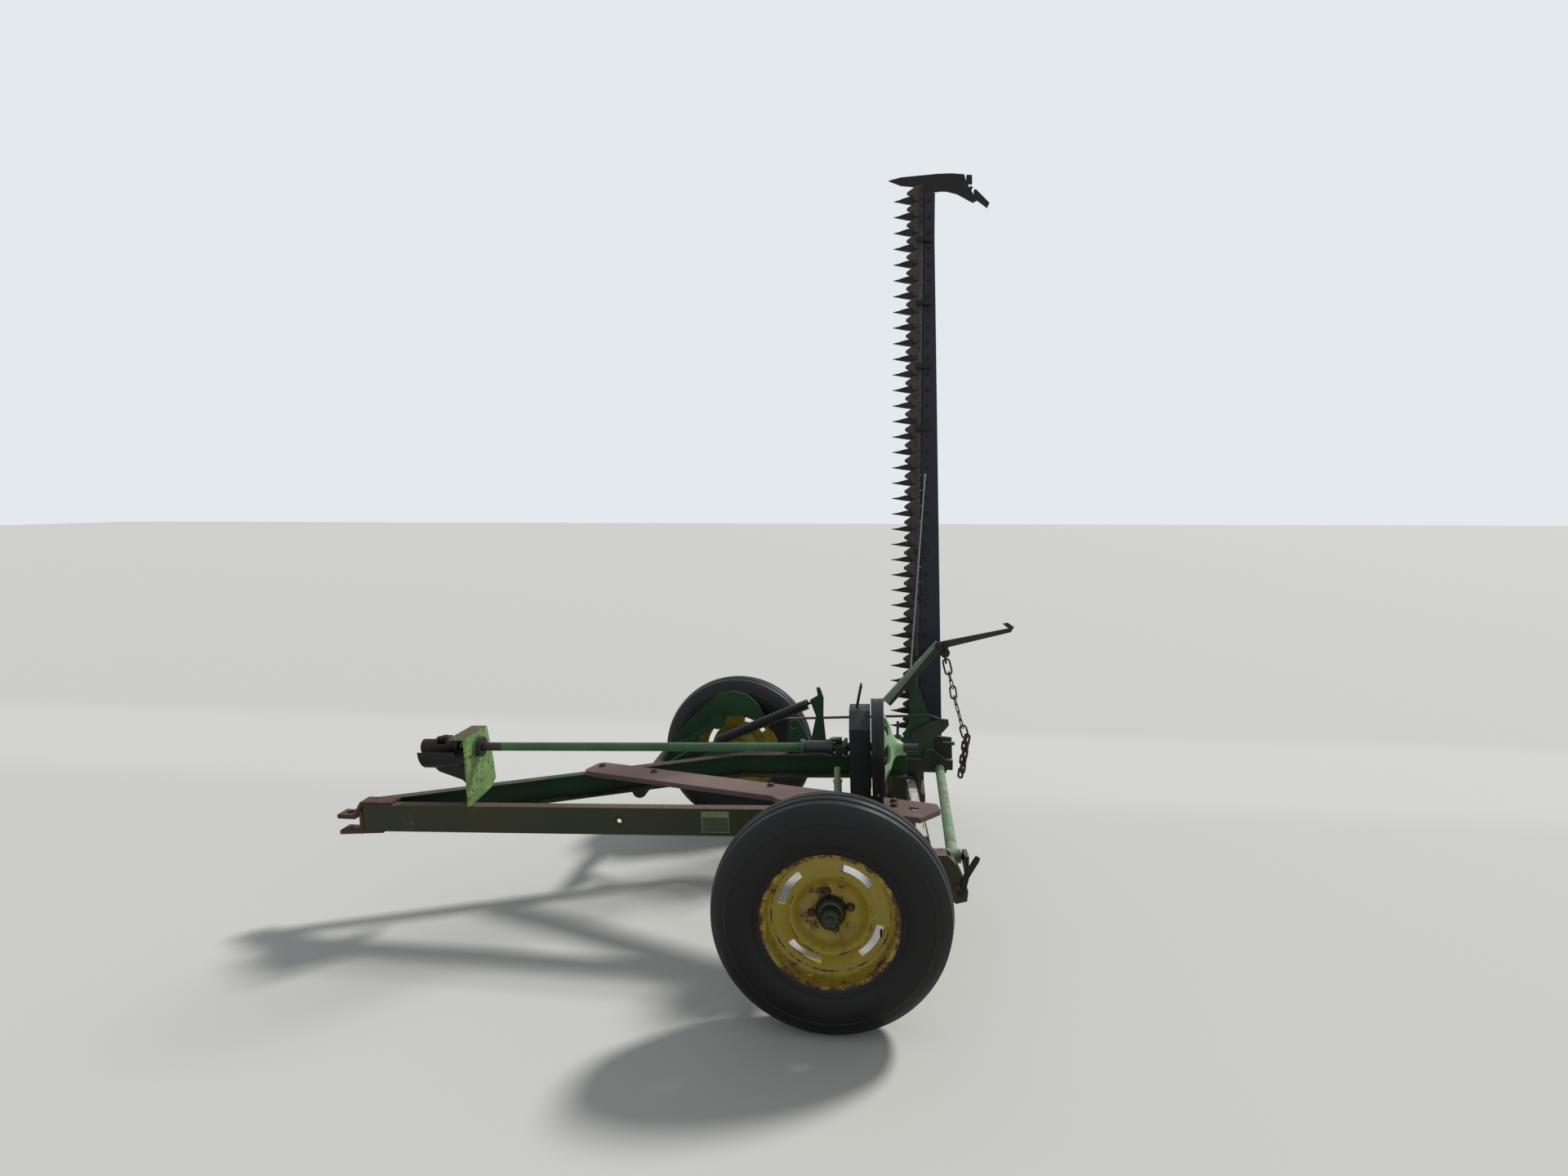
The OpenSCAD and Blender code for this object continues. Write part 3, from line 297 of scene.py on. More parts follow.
# The plate on the left channel: a thin painted sheet, riveted flat to the web. It has a pale green edge
# and a darker field, both faded, and it is bare.
def softened(name, shape, round_over, finish, body):
    """A piece of a sharp shape, with its edges rounded over by so many metres."""
    bmesh.ops.bevel(shape, geom=shape.edges[:], offset=round_over, segments=2, affect="EDGES", profile=0.5)
    bmesh.ops.recalc_face_normals(shape, faces=shape.faces)
    mesh = bpy.data.meshes.new(name)
    shape.to_mesh(mesh)
    shape.free()
    mesh.materials.append(finish)
    return fastened(placed(name, mesh), body)


def slab(name, low, high, to_world, finish, body, round_over):
    """A small block between two corners in millimetres, put in place by a matrix."""
    shape = bmesh.new()
    bmesh.ops.create_cube(shape, size=1)
    size = [end - start for start, end in zip(low, high)]
    middle = [(end + start) / 2 for start, end in zip(low, high)]
    shape.transform(to_world @ Matrix.Translation(middle) @ Matrix.Diagonal(size + [1]))
    return softened(name, shape, round_over, finish, body)


# Faded sheet enamel, light on the edge and dark on the field: flat colour with hardly any rust
plate_edge = enamel("plate_edge_enamel", "#6F7D57", "#869468", limit=0.93, top=0, wear=0.05, patch=30)
plate_face = enamel("plate_face_enamel", "#33402A", "#3D4B30", limit=0.93, top=0, wear=0.05, patch=30)
plate_front, plate_rear, plate_low, plate_high, plate_rim, field_high = 1387, 1489, -9, 71, 3.5, 48
slab("plate_border", (plate_front, rail_y - 1.2, plate_low), (plate_rear, rail_y - 0.1, plate_high), fallen,
     plate_edge, "frame", 0.4 * mm)
slab("plate_field", (plate_front + plate_rim, rail_y - 1.6, plate_low + plate_rim),
     (plate_rear - plate_rim, rail_y - 1.0, field_high), fallen, plate_face, "frame",
     0.3 * mm)

# The front shaft support: a bent plate welded on the tongue, with its flange bearing, the yoke that takes
# the drive at the front, and the half bell under that yoke.
# Sun-bleached enamel: light green and speckled with small rust spots
support_green = enamel("support_enamel", "#6A9350", "#8CAC66", rust_and_light=("#3E3524", "#6B5C40"), limit=0.69,
                       top=0.20, wear=0.20, patch=52)
rounded_copy("pto_support", support_green)
# Worn green enamel: scuffed to brown specks, and dark with grease behind the flange
bearing_green = enamel("bearing_enamel", "#4C6A42", "#6D8A5C", rust_and_light=("#2A2219", "#4C3E30"), limit=0.76,
                       top=0.1, wear=0.3, patch=40, bands=[((1, 0, 0), 0.545, 0.036, "#1B1814")])
rounded_copy("front_bearing", bearing_green)
# Oily old iron: nearly black, with brown clouds
old_iron = enamel("old_iron", "#171513", "#28231F", rust_and_light=("#241A15", "#4A362B"), limit=0.74, top=0.12,
                  wear=0.05, patch=26, gloss=0.62, shine=0.3)
rounded_copy("pto_yoke", old_iron)
# Black guard enamel: smoother than the iron, with a faint sheen
guard_black = enamel("guard_enamel", "#0E0F10", "#17181B", rust_and_light=("#2C211C", "#4B382F"), limit=0.88, top=0.1,
                     wear=0.10, patch=9, gloss=0.42, shine=0.3)
rounded_copy("bell_guard", guard_black)

# The diagonal brace: a shallow pressed channel laid over the frame from the right channel to the rear,
# bolted through. It lies in the weather, and fine rust has left it rosy brown and matt all over, with
# hardly a change of tone.
brace_rust = enamel("brace_rust", "#695550", "#7F6C66", rust_and_light=("#54413C", "#927E78"), limit=0.74, top=0.02,
                    wear=0.06, patch=5, gloss=0.82, shine=0.3)
rounded_copy("diagonal_brace", brace_rust, 2 * mm)

# The right wheel's arm: a flame-cut teardrop plate with a strap and boss on its near side, the upright
# lever with the hooked coil spring that carries part of the load, and a long thin control rod.
# Shaded enamel: a deeper green, with little rust
arm_green = enamel("arm_enamel", "#17381F", "#224B2A", limit=0.86, top=0.16, wear=0.20, shine=0.3)
rounded_copy("right_arm", arm_green, 1.5 * mm)
rounded_copy("spring_lever", arm_green)
# Handled rod steel: dark brown, rubbed smooth
dark_rod = enamel("rod_steel", "#1C1816", "#2C2723", rust_and_light=("#33241D", "#543C30"), limit=0.72, top=0.05,
                  wear=0, patch=20, gloss=0.55)
rounded_copy("control_rod", dark_rod, 0)


def tree_of(name, **inputs):
    """An empty Geometry Nodes tree with named inputs, what its user gives, and its group output."""
    tree = bpy.data.node_groups.new(name, "GeometryNodeTree")
    tree.interface.new_socket("Places", in_out="INPUT", socket_type="NodeSocketGeometry")
    for label, kind in inputs.items():
        tree.interface.new_socket(label, in_out="INPUT", socket_type="NodeSocket" + kind)
    tree.interface.new_socket("Made", in_out="OUTPUT", socket_type="NodeSocketGeometry")
    return tree, add(tree, "NodeGroupInput").outputs, add(tree, "NodeGroupOutput")


def coated(tree, made, given, result):
    """Ends a tree: what it made comes out as plain mesh in the given metal."""
    real = add(tree, "GeometryNodeRealizeInstances", {0: made})
    metal = add(tree, "GeometryNodeSetMaterial", {0: real, "Material": given["Metal"]})
    feed(tree, result, {0: metal})


def grown(name, tree, places, body, slot, to_world=None, replaced=None, **sizes):
    """Runs a tree on a mesh of places and keeps the outcome as a plain mesh that rides on a body."""
    piece = placed(name, places)
    run = piece.modifiers.new("grow", "NODES")
    run.node_group = tree
    for item in tree.interface.items_tree:
        if item.in_out == "INPUT" and item.name in sizes:
            run[item.identifier] = sizes[item.name]
    made = baked(piece)
    piece.modifiers.clear()
    piece.data = made
    if to_world:
        made.transform(to_world)
    return fastened(piece, body, replaced)


coil_tree, given, result = tree_of("wire_coil", Length="Float", Radius="Float", Wire="Float", Turns="Float",
                                   Metal="Material")
spiral = add(coil_tree, "GeometryNodeCurveSpiral",
             {"Resolution": 28, "Rotations": given["Turns"], "Start Radius": given["Radius"],
              "End Radius": given["Radius"], "Height": given["Length"]})
section = add(coil_tree, "GeometryNodeCurvePrimitiveCircle", {"Resolution": 8, "Radius": given["Wire"]})
wound = add(coil_tree, "GeometryNodeCurveToMesh",
            {"Curve": spiral, "Profile Curve": section, "Fill Caps": True})
coated(coil_tree, add(coil_tree, "GeometryNodeSetShadeSmooth", {0: wound}), given, result)


def looking(start, end):
    """The matrix, in millimetres, that stands at start with +Z towards end."""
    turn = (end - start).to_track_quat("Z", "Y")
    return Matrix.Translation(start) @ turn.to_matrix().to_4x4()


# Black spring steel: a low gleam along the wire
spring_black = enamel("spring_steel", "#101010", "#1B1A1A", rust_and_light=("#2E211C", "#4C372C"), limit=0.80,
                      top=0.05, wear=0, patch=18, gloss=0.45, shine=0.35)
spring_front = Vector((1319, 648, 128))
spring_rear = Vector((1728, 648, 294))
one_place = bpy.data.meshes.new("spring_start")
one_place.from_pydata([(0, 0, 0)], [], [])
grown("counter_spring_coil", coil_tree, one_place, "frame", "dark_steel",
      fallen @ looking(spring_front, spring_rear), "counter_spring",
      Length=(spring_rear - spring_front).length, Radius=18.5, Wire=4.7, Turns=44.0, Metal=spring_black)


def round_bar(name, points, radius, to_world, finish, body, sides=12, replaced=None):
    """A round bar bent through points, which a matrix puts in place."""
    curve = bpy.data.curves.new(name, "CURVE")
    curve.dimensions = "3D"
    curve.bevel_depth = radius
    curve.bevel_resolution = max(1, sides // 4 - 1)
    curve.use_fill_caps = True
    line = curve.splines.new("POLY")
    line.points.add(len(points) - 1)
    for point, where in zip(line.points, points):
        point.co = (*where, 1)
    bent = placed(name, curve)
    mesh = baked(bent)
    bpy.data.objects.remove(bent)
    mesh.transform(to_world)
    smoothed(mesh, 50)
    mesh.materials.clear()
    mesh.materials.append(finish)
    return fastened(placed(name, mesh), body, replaced)


# Each hook starts inside the coil, runs straight on past its end and turns off to the left side
pull = (spring_rear - spring_front).normalized()
hook_wire, hook_inside, hook_bend = 5, 12, 6
for end, start, away, straight, hook_side in (("front", spring_front, -pull, 56, 25),
                                              ("rear", spring_rear, pull, 16, 23)):
    corner = start + (straight + hook_bend) * away
    hook = [start - hook_inside * away, start + straight * away, corner + Vector((0, -hook_bend, 0)),
            corner + Vector((0, -hook_side, 0))]
    round_bar(f"counter_spring_{end}_hook", hook, hook_wire, fallen, spring_black, "frame",
              replaced="counter_spring")


# The tyres: ribbed implement tyres with four ribs round the tread, pressed on the rims by their own air.
# The rubber is black and matt, with dust in the grooves; the sidewalls are plain.
def turned_ring(name, outline, centre, finish, steps=144):
    """A closed body turned about the axle from (radius, distance from the middle) points, in metres."""
    shape = bmesh.new()
    on_axis = {i: shape.verts.new((centre[0], centre[1] + y, centre[2]))
               for i, (r, y) in enumerate(outline) if r == 0}
    rows = []
    for i in range(steps):
        angle = 2 * math.pi * i / steps
        rows.append([on_axis.get(k) or shape.verts.new((centre[0] + r * math.cos(angle), centre[1] + y,
                                                        centre[2] + r * math.sin(angle)))
                     for k, (r, y) in enumerate(outline)])
    count = len(outline)
    for i in range(steps):
        here, ahead = rows[i], rows[(i + 1) % steps]
        for k in range(count):
            after = (k + 1) % count
            corners = list(dict.fromkeys((here[k], here[after], ahead[after], ahead[k])))
            if len(corners) > 2:
                shape.faces.new(corners)
    bmesh.ops.recalc_face_normals(shape, faces=shape.faces)
    mesh = bpy.data.meshes.new(name)
    shape.to_mesh(mesh)
    shape.free()
    smoothed(mesh, 40)
    mesh.materials.append(finish)
    return placed(name, mesh)


# Weather cracks are about 10 mm apart
cracks_per_metre, crack_depth = 95.0, 0.6 * mm


def rubber(name):
    """Vulcanised rubber: carbon black with brown dust where it lies low, and fine weather cracks."""
    material, tree, shader = bare_material(name)
    place = add(tree, "ShaderNodeTexCoord").outputs["Object"]
    cloud = add(tree, "ShaderNodeTexNoise", {"Vector": place, "Scale": 9.0, "Detail": 6.0,
                                             "Roughness": 0.62})
    grit = add(tree, "ShaderNodeTexNoise", {"Vector": place, "Scale": 420.0, "Detail": 2.0})
    cracks = add(tree, "ShaderNodeTexVoronoi", {"Vector": place, "Scale": cracks_per_metre},
                 feature="DISTANCE_TO_EDGE")
    dust = add(tree, "ShaderNodeMapRange", {0: cloud, 1: 0.42, 2: 0.78, 3: 0.0, 4: 0.6})
    colour = add(tree, "ShaderNodeMix", {0: dust, 6: linear("#060607"), 7: linear("#1B1815")},
                 data_type="RGBA")
    rough = add(tree, "ShaderNodeMapRange", {0: dust, 3: 0.44, 4: 0.78})
    line = add(tree, "ShaderNodeMapRange", {0: cracks, 1: 0.0, 2: 0.05, 3: 0.0, 4: 1.0})
    height = add(tree, "ShaderNodeMath", {0: grit, 1: 0.4, 2: line}, operation="MULTIPLY_ADD")
    bump = add(tree, "ShaderNodeBump", {"Strength": 0.18, "Distance": crack_depth, "Height": height})
    feed(tree, shader, {"Base Color": colour, "Roughness": rough, "Normal": bump,
                        "Specular IOR Level": 0.3})
    return material


tyre_rubber = rubber("tyre_rubber")
wall = [(0.1993, 0.0584), (0.2084, 0.0616), (0.2084, 0.0660), (0.2150, 0.0700), (0.2222, 0.0708),
        (0.2240, 0.0730), (0.2268, 0.0735), (0.2288, 0.0722), (0.2400, 0.0775), (0.2560, 0.0815),
        (0.2720, 0.0829), (0.2850, 0.0830), (0.2990, 0.0817), (0.3040, 0.0808), (0.3056, 0.0818),
        (0.3080, 0.0812), (0.3100, 0.0790), (0.3200, 0.0762), (0.3300, 0.0718), (0.3400, 0.0652),
        (0.3478, 0.0590), (0.3520, 0.0550)]
crown = [(0.3548, 0.0530), (0.3562, 0.0500), (0.3572, 0.0440), (0.3592, 0.0366), (0.3588, 0.0352),
         (0.3520, 0.0338), (0.3515, 0.0284), (0.3598, 0.0270), (0.3614, 0.0256), (0.3634, 0.0130),
         (0.3636, 0.0060), (0.3622, 0.0046), (0.3545, 0.0034), (0.3542, 0.0)]
half = wall + crown
tyre_outline = half + [(r, -y) for r, y in reversed(half[:-1])]
hubs = {"left": Vector((1.880, -0.515, 0.010)), "right": Vector((1.348, 1.054, 0.010))}
for side, centre in hubs.items():
    fastened(turned_ring(side + "_tyre_ribbed", tyre_outline, centre, tyre_rubber),
             body_of[side + "_tyre"], side + "_tyre")


# The wheels: pressed steel discs in yellow enamel with four hand slots. Rust runs round the rim flange
# and the pressed rings, and the hub and its cap are dark green. Four wheel bolts hold each disc, and the
# tyre's valve stands out near them.
def from_axle(tree, place, middle, across):
    """How far a place is from an axle through middle. across has a one for each axis across the axle."""
    off = add(tree, "ShaderNodeVectorMath", {0: place, 1: middle}, operation="SUBTRACT")
    level = add(tree, "ShaderNodeVectorMath", {0: off, 1: across}, operation="MULTIPLY")
    return add(tree, "ShaderNodeVectorMath", {0: level}, operation="LENGTH")


# Radii: where the rim's flange and the disc round the bolts begin to rust and where they rust most, the
# pressed rings with the half widths of their heavy and light rust, and the edge of the hub's paint
flange_from, flange_most, bolts_from, bolts_most = 0.176, 0.206, 0.112, 0.088
ring_r, ring_heavy, ring_light = 0.1235, 1.0 * mm, 3.5 * mm
fold_r, fold_heavy, fold_light = 0.1785, 1.2 * mm, 4.0 * mm
hub_paint_out, hub_paint_in = 0.0470, 0.0460


def wheel_enamel(name, centre):
    """Yellow enamel that rusts by its distance from the axle, with a dark green hub in the middle."""
    material, tree, shader = bare_material(name)
    place = add(tree, "ShaderNodeTexCoord").outputs["Object"]
    radius = from_axle(tree, place, centre, (1, 0, 1))

    def round_ring(middle, light, heavy, gain):
        """As much as gain close to a pressed ring, and nothing past its light rust."""
        off = add(tree, "ShaderNodeMath", {0: radius, 1: middle}, operation="SUBTRACT")
        away = add(tree, "ShaderNodeMath", {0: off}, operation="ABSOLUTE")
        return add(tree, "ShaderNodeMapRange", {0: away, 1: light, 2: heavy, 3: 0.0, 4: gain})

    cloud = add(tree, "ShaderNodeTexNoise", {"Vector": place, "Scale": 19.0, "Detail": 8.0,
                                             "Roughness": 0.70})
    grit = add(tree, "ShaderNodeTexNoise", {"Vector": place, "Scale": 210.0, "Detail": 3.0})
    flange = add(tree, "ShaderNodeMapRange", {0: radius, 1: flange_from, 2: flange_most, 3: 0.0, 4: 0.22})
    ring = round_ring(ring_r, ring_light, ring_heavy, 0.20)
    fold = round_ring(fold_r, fold_light, fold_heavy, 0.18)
    bolted = add(tree, "ShaderNodeMapRange", {0: radius, 1: bolts_from, 2: bolts_most, 3: 0.0, 4: 0.10})
    outer = add(tree, "ShaderNodeMath", {0: flange, 1: ring}, operation="ADD")
    inner = add(tree, "ShaderNodeMath", {0: fold, 1: bolted}, operation="ADD")
    exposed = add(tree, "ShaderNodeMath", {0: outer, 1: inner}, operation="ADD")
    speckled = add(tree, "ShaderNodeMath", {0: grit, 1: 0.25, 2: cloud}, operation="MULTIPLY_ADD")
    weather = add(tree, "ShaderNodeMath", {0: exposed, 1: speckled}, operation="ADD")
    stain = add(tree, "ShaderNodeMapRange", {0: weather, 1: 0.66, 2: 0.84, 3: 0.0, 4: 0.75})
    rusty = add(tree, "ShaderNodeMapRange", {0: weather, 1: 0.80, 2: 0.86})
    clean = add(tree, "ShaderNodeMix", {0: cloud, 6: linear("#8D7B14"), 7: linear("#B39E30")},
                data_type="RGBA")
    dull = add(tree, "ShaderNodeMix", {0: stain, 6: clean, 7: linear("#7F5F20")}, data_type="RGBA")
    oxide = add(tree, "ShaderNodeMix", {0: grit, 6: linear("#3A2318"), 7: linear("#623C26")},
                data_type="RGBA")
    yellow = add(tree, "ShaderNodeMix", {0: rusty, 6: dull, 7: oxide}, data_type="RGBA")
    inside = add(tree, "ShaderNodeMapRange", {0: radius, 1: hub_paint_out, 2: hub_paint_in})
    hub = add(tree, "ShaderNodeMix", {0: cloud, 6: linear("#0E120A"), 7: linear("#1B2114")},
              data_type="RGBA")
    colour = add(tree, "ShaderNodeMix", {0: inside, 6: yellow, 7: hub}, data_type="RGBA")
    rough = add(tree, "ShaderNodeMapRange", {0: rusty, 3: 0.42, 4: 0.86})
    height = add(tree, "ShaderNodeMath", {0: rusty, 1: grit}, operation="MULTIPLY")
    bump = add(tree, "ShaderNodeBump", {"Strength": 0.4, "Distance": 0.6 * mm, "Height": height})
    feed(tree, shader, {"Base Color": colour, "Roughness": rough, "Normal": bump})
    return material


def whole(vertex, seen):
    """The vertices of the solid that a vertex belongs to."""
    found, waiting = [], [vertex]
    seen.add(vertex)
    while waiting:
        here = waiting.pop()
        found.append(here)
        for edge in here.link_edges:
            there = edge.other_vert(here)
            if there not in seen:
                seen.add(there)
                waiting.append(there)
    return found


# The middle of the disc is pressed in behind the ring, and a slim cap stands out from the hub
recess, ring_foot, floor_edge, hub_reach = 0.044, 0.1125, 0.094, 0.062
spindle_bore = 0.0203
hub_outline = [(spindle_bore, 0.062), (0.024, 0.062), (0.034, 0.048), (0.060, 0.048), (0.060, 0.028),
               (0.0445, 0.024), (0.0445, 0.0085), (0.0425, 0.0065), (0.0325, 0.0065), (0.0315, -0.044),
               (0.0300, -0.050), (0.0240, -0.055), (0.0230, -0.0535), (0.0130, -0.0535), (0.0120, -0.058),
               (0.0, -0.0585), (0.0, -0.030), (spindle_bore, -0.030)]
for side, centre in hubs.items():
    out = -1 if side == "left" else 1
    finish = wheel_enamel(side + "_wheel_enamel", centre)
    piece = rounded_copy(side + "_wheel", finish, 0)
    shape = bmesh.new()
    shape.from_mesh(piece.data)
    seen = set()
    for solid in [whole(v, seen) for v in shape.verts if v not in seen]:
        if max(math.hypot(v.co.x - centre.x, v.co.z - centre.z) for v in solid) < hub_reach:
            bmesh.ops.delete(shape, geom=solid, context="VERTS")
    for v in shape.verts:
        radius = math.hypot(v.co.x - centre.x, v.co.z - centre.z)
        v.co.y -= out * recess * min(1, max(0, (ring_foot - radius) / (ring_foot - floor_edge)))
    shape.to_mesh(piece.data)
    shape.free()
    fastened(turned_ring(side + "_hub", [(r, -out * y) for r, y in hub_outline], centre, finish, 48),
             body_of[side + "_wheel"], side + "_wheel")


def at_places(tree, given, instance):
    """An instance at each of the given places, turned as the place says."""
    turn = add(tree, "GeometryNodeInputNamedAttribute", {0: "turn"}, data_type="FLOAT_VECTOR")
    return add(tree, "GeometryNodeInstanceOnPoints", {"Points": given["Places"], "Instance": instance,
                                                      "Rotation": turn})


bolt_tree, given, result = tree_of("bolts", Sides="Int", Radius="Float", Height="Float", Washer="Float",
                                   Metal="Material")
washer_thick = 4 * mm
lift = add(bolt_tree, "ShaderNodeMath", {0: given["Height"], 1: 0.5}, operation="MULTIPLY")
raised = add(bolt_tree, "ShaderNodeCombineXYZ", {2: lift})
hexagon = add(bolt_tree, "GeometryNodeMeshCylinder",
              {"Vertices": given["Sides"], "Radius": given["Radius"], "Depth": given["Height"]})
hexagon_up = add(bolt_tree, "GeometryNodeTransform", {0: hexagon, "Translation": raised})
crown_r = add(bolt_tree, "ShaderNodeMath", {0: given["Radius"], 1: 0.72}, operation="MULTIPLY")
crown_h = add(bolt_tree, "ShaderNodeMath", {0: given["Height"], 1: 0.22}, operation="MULTIPLY")
chamfer = add(bolt_tree, "GeometryNodeMeshCone", {"Vertices": given["Sides"], "Radius Top": crown_r,
                                                  "Radius Bottom": given["Radius"], "Depth": crown_h})
top = add(bolt_tree, "ShaderNodeCombineXYZ", {2: given["Height"]})
chamfer_up = add(bolt_tree, "GeometryNodeTransform", {0: chamfer, "Translation": top})
washer_r = add(bolt_tree, "ShaderNodeMath", {0: given["Radius"], 1: given["Washer"]}, operation="MULTIPLY")
washer = add(bolt_tree, "GeometryNodeMeshCylinder",
             {"Vertices": 20, "Radius": washer_r, "Depth": washer_thick})
head = add(bolt_tree, "GeometryNodeJoinGeometry")
for part in (hexagon_up, chamfer_up, washer):
    feed(bolt_tree, head, {0: part})
coated(bolt_tree, at_places(bolt_tree, given, head), given, result)


def turned_places(name, points, turns):
    """A mesh of bare points, each with the turn that its instance takes."""
    mesh = bpy.data.meshes.new(name)
    mesh.from_pydata(points, [], [])
    stored = mesh.attributes.new("turn", "FLOAT_VECTOR", "POINT")
    for row, turn in zip(stored.data, turns):
        row.vector = turn
    return mesh


def bolts(name, rows, to_world, body, slot, metal, radius, height, washer=1.3, sides=6):
    """Bolt or rivet heads at (place, way) rows, each standing up along its way."""
    points = [to_world @ Vector(place) for place, way in rows]
    turns = [(to_world.to_3x3() @ Vector(way)).to_track_quat("Z", "Y").to_euler() for place, way in rows]
    return grown(name, bolt_tree, turned_places("places", points, turns), body, slot, Sides=sides,
                 Radius=radius, Height=height, Washer=washer, Metal=metal)


# Rusted bolt steel: brown and matt
bolt_brown = enamel("bolt_steel", "#2A201B", "#43352D", rust_and_light=("#3D2A22", "#65483A"), limit=0.60, top=0.05,
                    wear=0.02, patch=40, gloss=0.7)
as_it_is = Matrix.Identity(4)
bolt_ring, bolt_seat, bolt_angles = 0.060, 0.0155, (11, 103, 191, 282)
valve_behind, valve_drop, valve_foot, valve_tip, valve_r = 0.150, 0.045, 0.004, 0.040, 3.8 * mm
for side, centre in hubs.items():
    out = -1 if side == "left" else 1
    rows = [((centre.x + bolt_ring * math.cos(math.radians(angle)), centre.y - out * bolt_seat,
              centre.z + bolt_ring * math.sin(math.radians(angle))), (0, out, 0)) for angle in bolt_angles]
    bolts(side + "_wheel_bolts", rows, as_it_is, body_of[side + "_wheel"], "yellow_enamel", bolt_brown,
          radius=10.5 * mm, height=10 * mm)
    valve = [(centre.x + valve_behind, centre.y + out * y, centre.z - valve_drop)
             for y in (valve_foot, valve_tip)]
    round_bar(side + "_valve", valve, valve_r, as_it_is, tyre_rubber, body_of[side + "_wheel"])

# The line shaft: a long round shaft in green, worn dark at its front end, with a dark sleeve and the
# universal joint ahead of the sheave. It turns in the front bearing and carries the sheave at its rear.
# Handled enamel: a soft gleam along the top, dark where grease and wear have taken it
shaft_green = enamel("shaft_enamel", "#234A2C", "#3B6743", rust_and_light=("#2A201A", "#4B382C"), limit=0.82,
                     top=0.05, wear=0.06, patch=12, gloss=0.40,
                     bands=[((1, 0, 0), 0.38, 0.22, "#1B1612"), ((1, 0, 0), 1.816, 0.064, "#18211C"),
                            ((1, 0, 0), 1.905, 0.030, "#1A2E20")])
rounded_copy("line_shaft", shaft_green)

# The belt shield: a cover of folded sheet steel over the sheave, in black enamel, with a threaded T
# handle on top.
# Black sheet enamel: cool in the skylight on its top, with brown scuffs
shield_black = enamel("shield_enamel", "#101216", "#1B1E26", rust_and_light=("#2C2220", "#4D3E3C"), limit=0.86,
                      top=0.20, wear=0.12, patch=8, gloss=0.50, shine=0.35)
rounded_copy("belt_shield", shield_black, 2 * mm)

# The belts: two rubber belts side by side, which run round the sheave and the crank's pulley and are held
# by their own pull. The rubber is like the tyres', black and dusty.
rounded_copy("belts", rubber("belt_rubber"), 1 * mm)

# The drive sheave: a dished iron casting with six windows, in light green, fixed on the shaft. The band
# that the belts run on is bare and dark, and so is the end of the shaft in the hub.
# Casting enamel: pale and chalky, with dark chips
sheave_green = enamel("sheave_enamel", "#6A9060", "#8CAF7E", rust_and_light=("#2A2522", "#403630"), limit=0.82,
                      top=0.05, wear=0.10, patch=12, gloss=0.45,
                      bands=[((1, 0, 0), 2.150, 0.042, "#1C1F1D")])
shaft_middle = (2.020, 0.051, 0.3476)
band_start, band_end = 0.1560, 0.1570
tree = sheave_green.node_tree
place = add(tree, "ShaderNodeTexCoord").outputs["Object"]
radius = from_axle(tree, place, shaft_middle, (0, 1, 1))
tinted(sheave_green, add(tree, "ShaderNodeMapRange", {0: radius, 1: band_start, 2: band_end}), "#1A1C1E")
rounded_copy("drive_sheave", sheave_green, 1.5 * mm)

# The crank: a grooved pulley, the crank wheel with its counterweight and the hanger with their bearing,
# which hangs under the brace. They are of old iron. The elbow post stands beside them.
for name in ("crank_pulley", "crank_wheel", "crank_hanger"):
    rounded_copy(name, old_iron, 1.5 * mm)
# Bleached grey-green enamel: pale in the sun, with few rust spots
post_green = enamel("post_enamel", "#8A9A78", "#A5B293", rust_and_light=("#3A302B", "#5B4B42"), limit=0.86, top=0.05,
                    wear=0.15, patch=14)
rounded_copy("elbow_post", post_green)


# The pitman: an ash stick, grey with weather, between two straps of flat steel with carriage bolts. It
# runs from the crank's pin to the ball on the knife's head.
def weathered_wood(name, start, end):
    """Ash left in the weather: silver grey, with the grain along the stick and dark checks. The grain is
    drawn about 3 mm wide and the checks 8 mm, both coarser than real ones, so that they show."""
    material, tree, shader = bare_material(name)
    place = add(tree, "ShaderNodeTexCoord").outputs["Object"]
    turn = (end - start).to_track_quat("Z", "Y").inverted().to_euler()
    along = add(tree, "ShaderNodeMapping", {"Vector": place, "Rotation": turn})
    stretched = add(tree, "ShaderNodeVectorMath", {0: along, 1: (1.0, 1.0, 0.05)}, operation="MULTIPLY")
    grain = add(tree, "ShaderNodeTexNoise", {"Vector": stretched, "Scale": 330.0, "Detail": 5.0,
                                             "Roughness": 0.6})
    checks = add(tree, "ShaderNodeTexNoise", {"Vector": stretched, "Scale": 120.0, "Detail": 3.0})
    dark = add(tree, "ShaderNodeMapRange", {0: checks, 1: 0.60, 2: 0.68})
    tone = add(tree, "ShaderNodeMapRange", {0: grain, 1: 0.35, 2: 0.65})
    pale = add(tree, "ShaderNodeMix", {0: tone, 6: linear("#ADA498"), 7: linear("#D2CBC0")},
               data_type="RGBA")
    colour = add(tree, "ShaderNodeMix", {0: dark, 6: pale, 7: linear("#4C4238")}, data_type="RGBA")
    bump = add(tree, "ShaderNodeBump", {"Strength": 0.5, "Distance": 0.8 * mm, "Height": grain})
    feed(tree, shader, {"Base Color": colour, "Roughness": 0.85, "Normal": bump})
    return material


crank_pin = Vector((2.1921, 0.051, -0.0333))
knife_ball = Vector((2.1917, 1.1697, -0.1582))
rounded_copy("pitman", weathered_wood("grey_ash", crank_pin, knife_ball), 1.5 * mm)
rounded_copy("pitman_straps", old_iron)

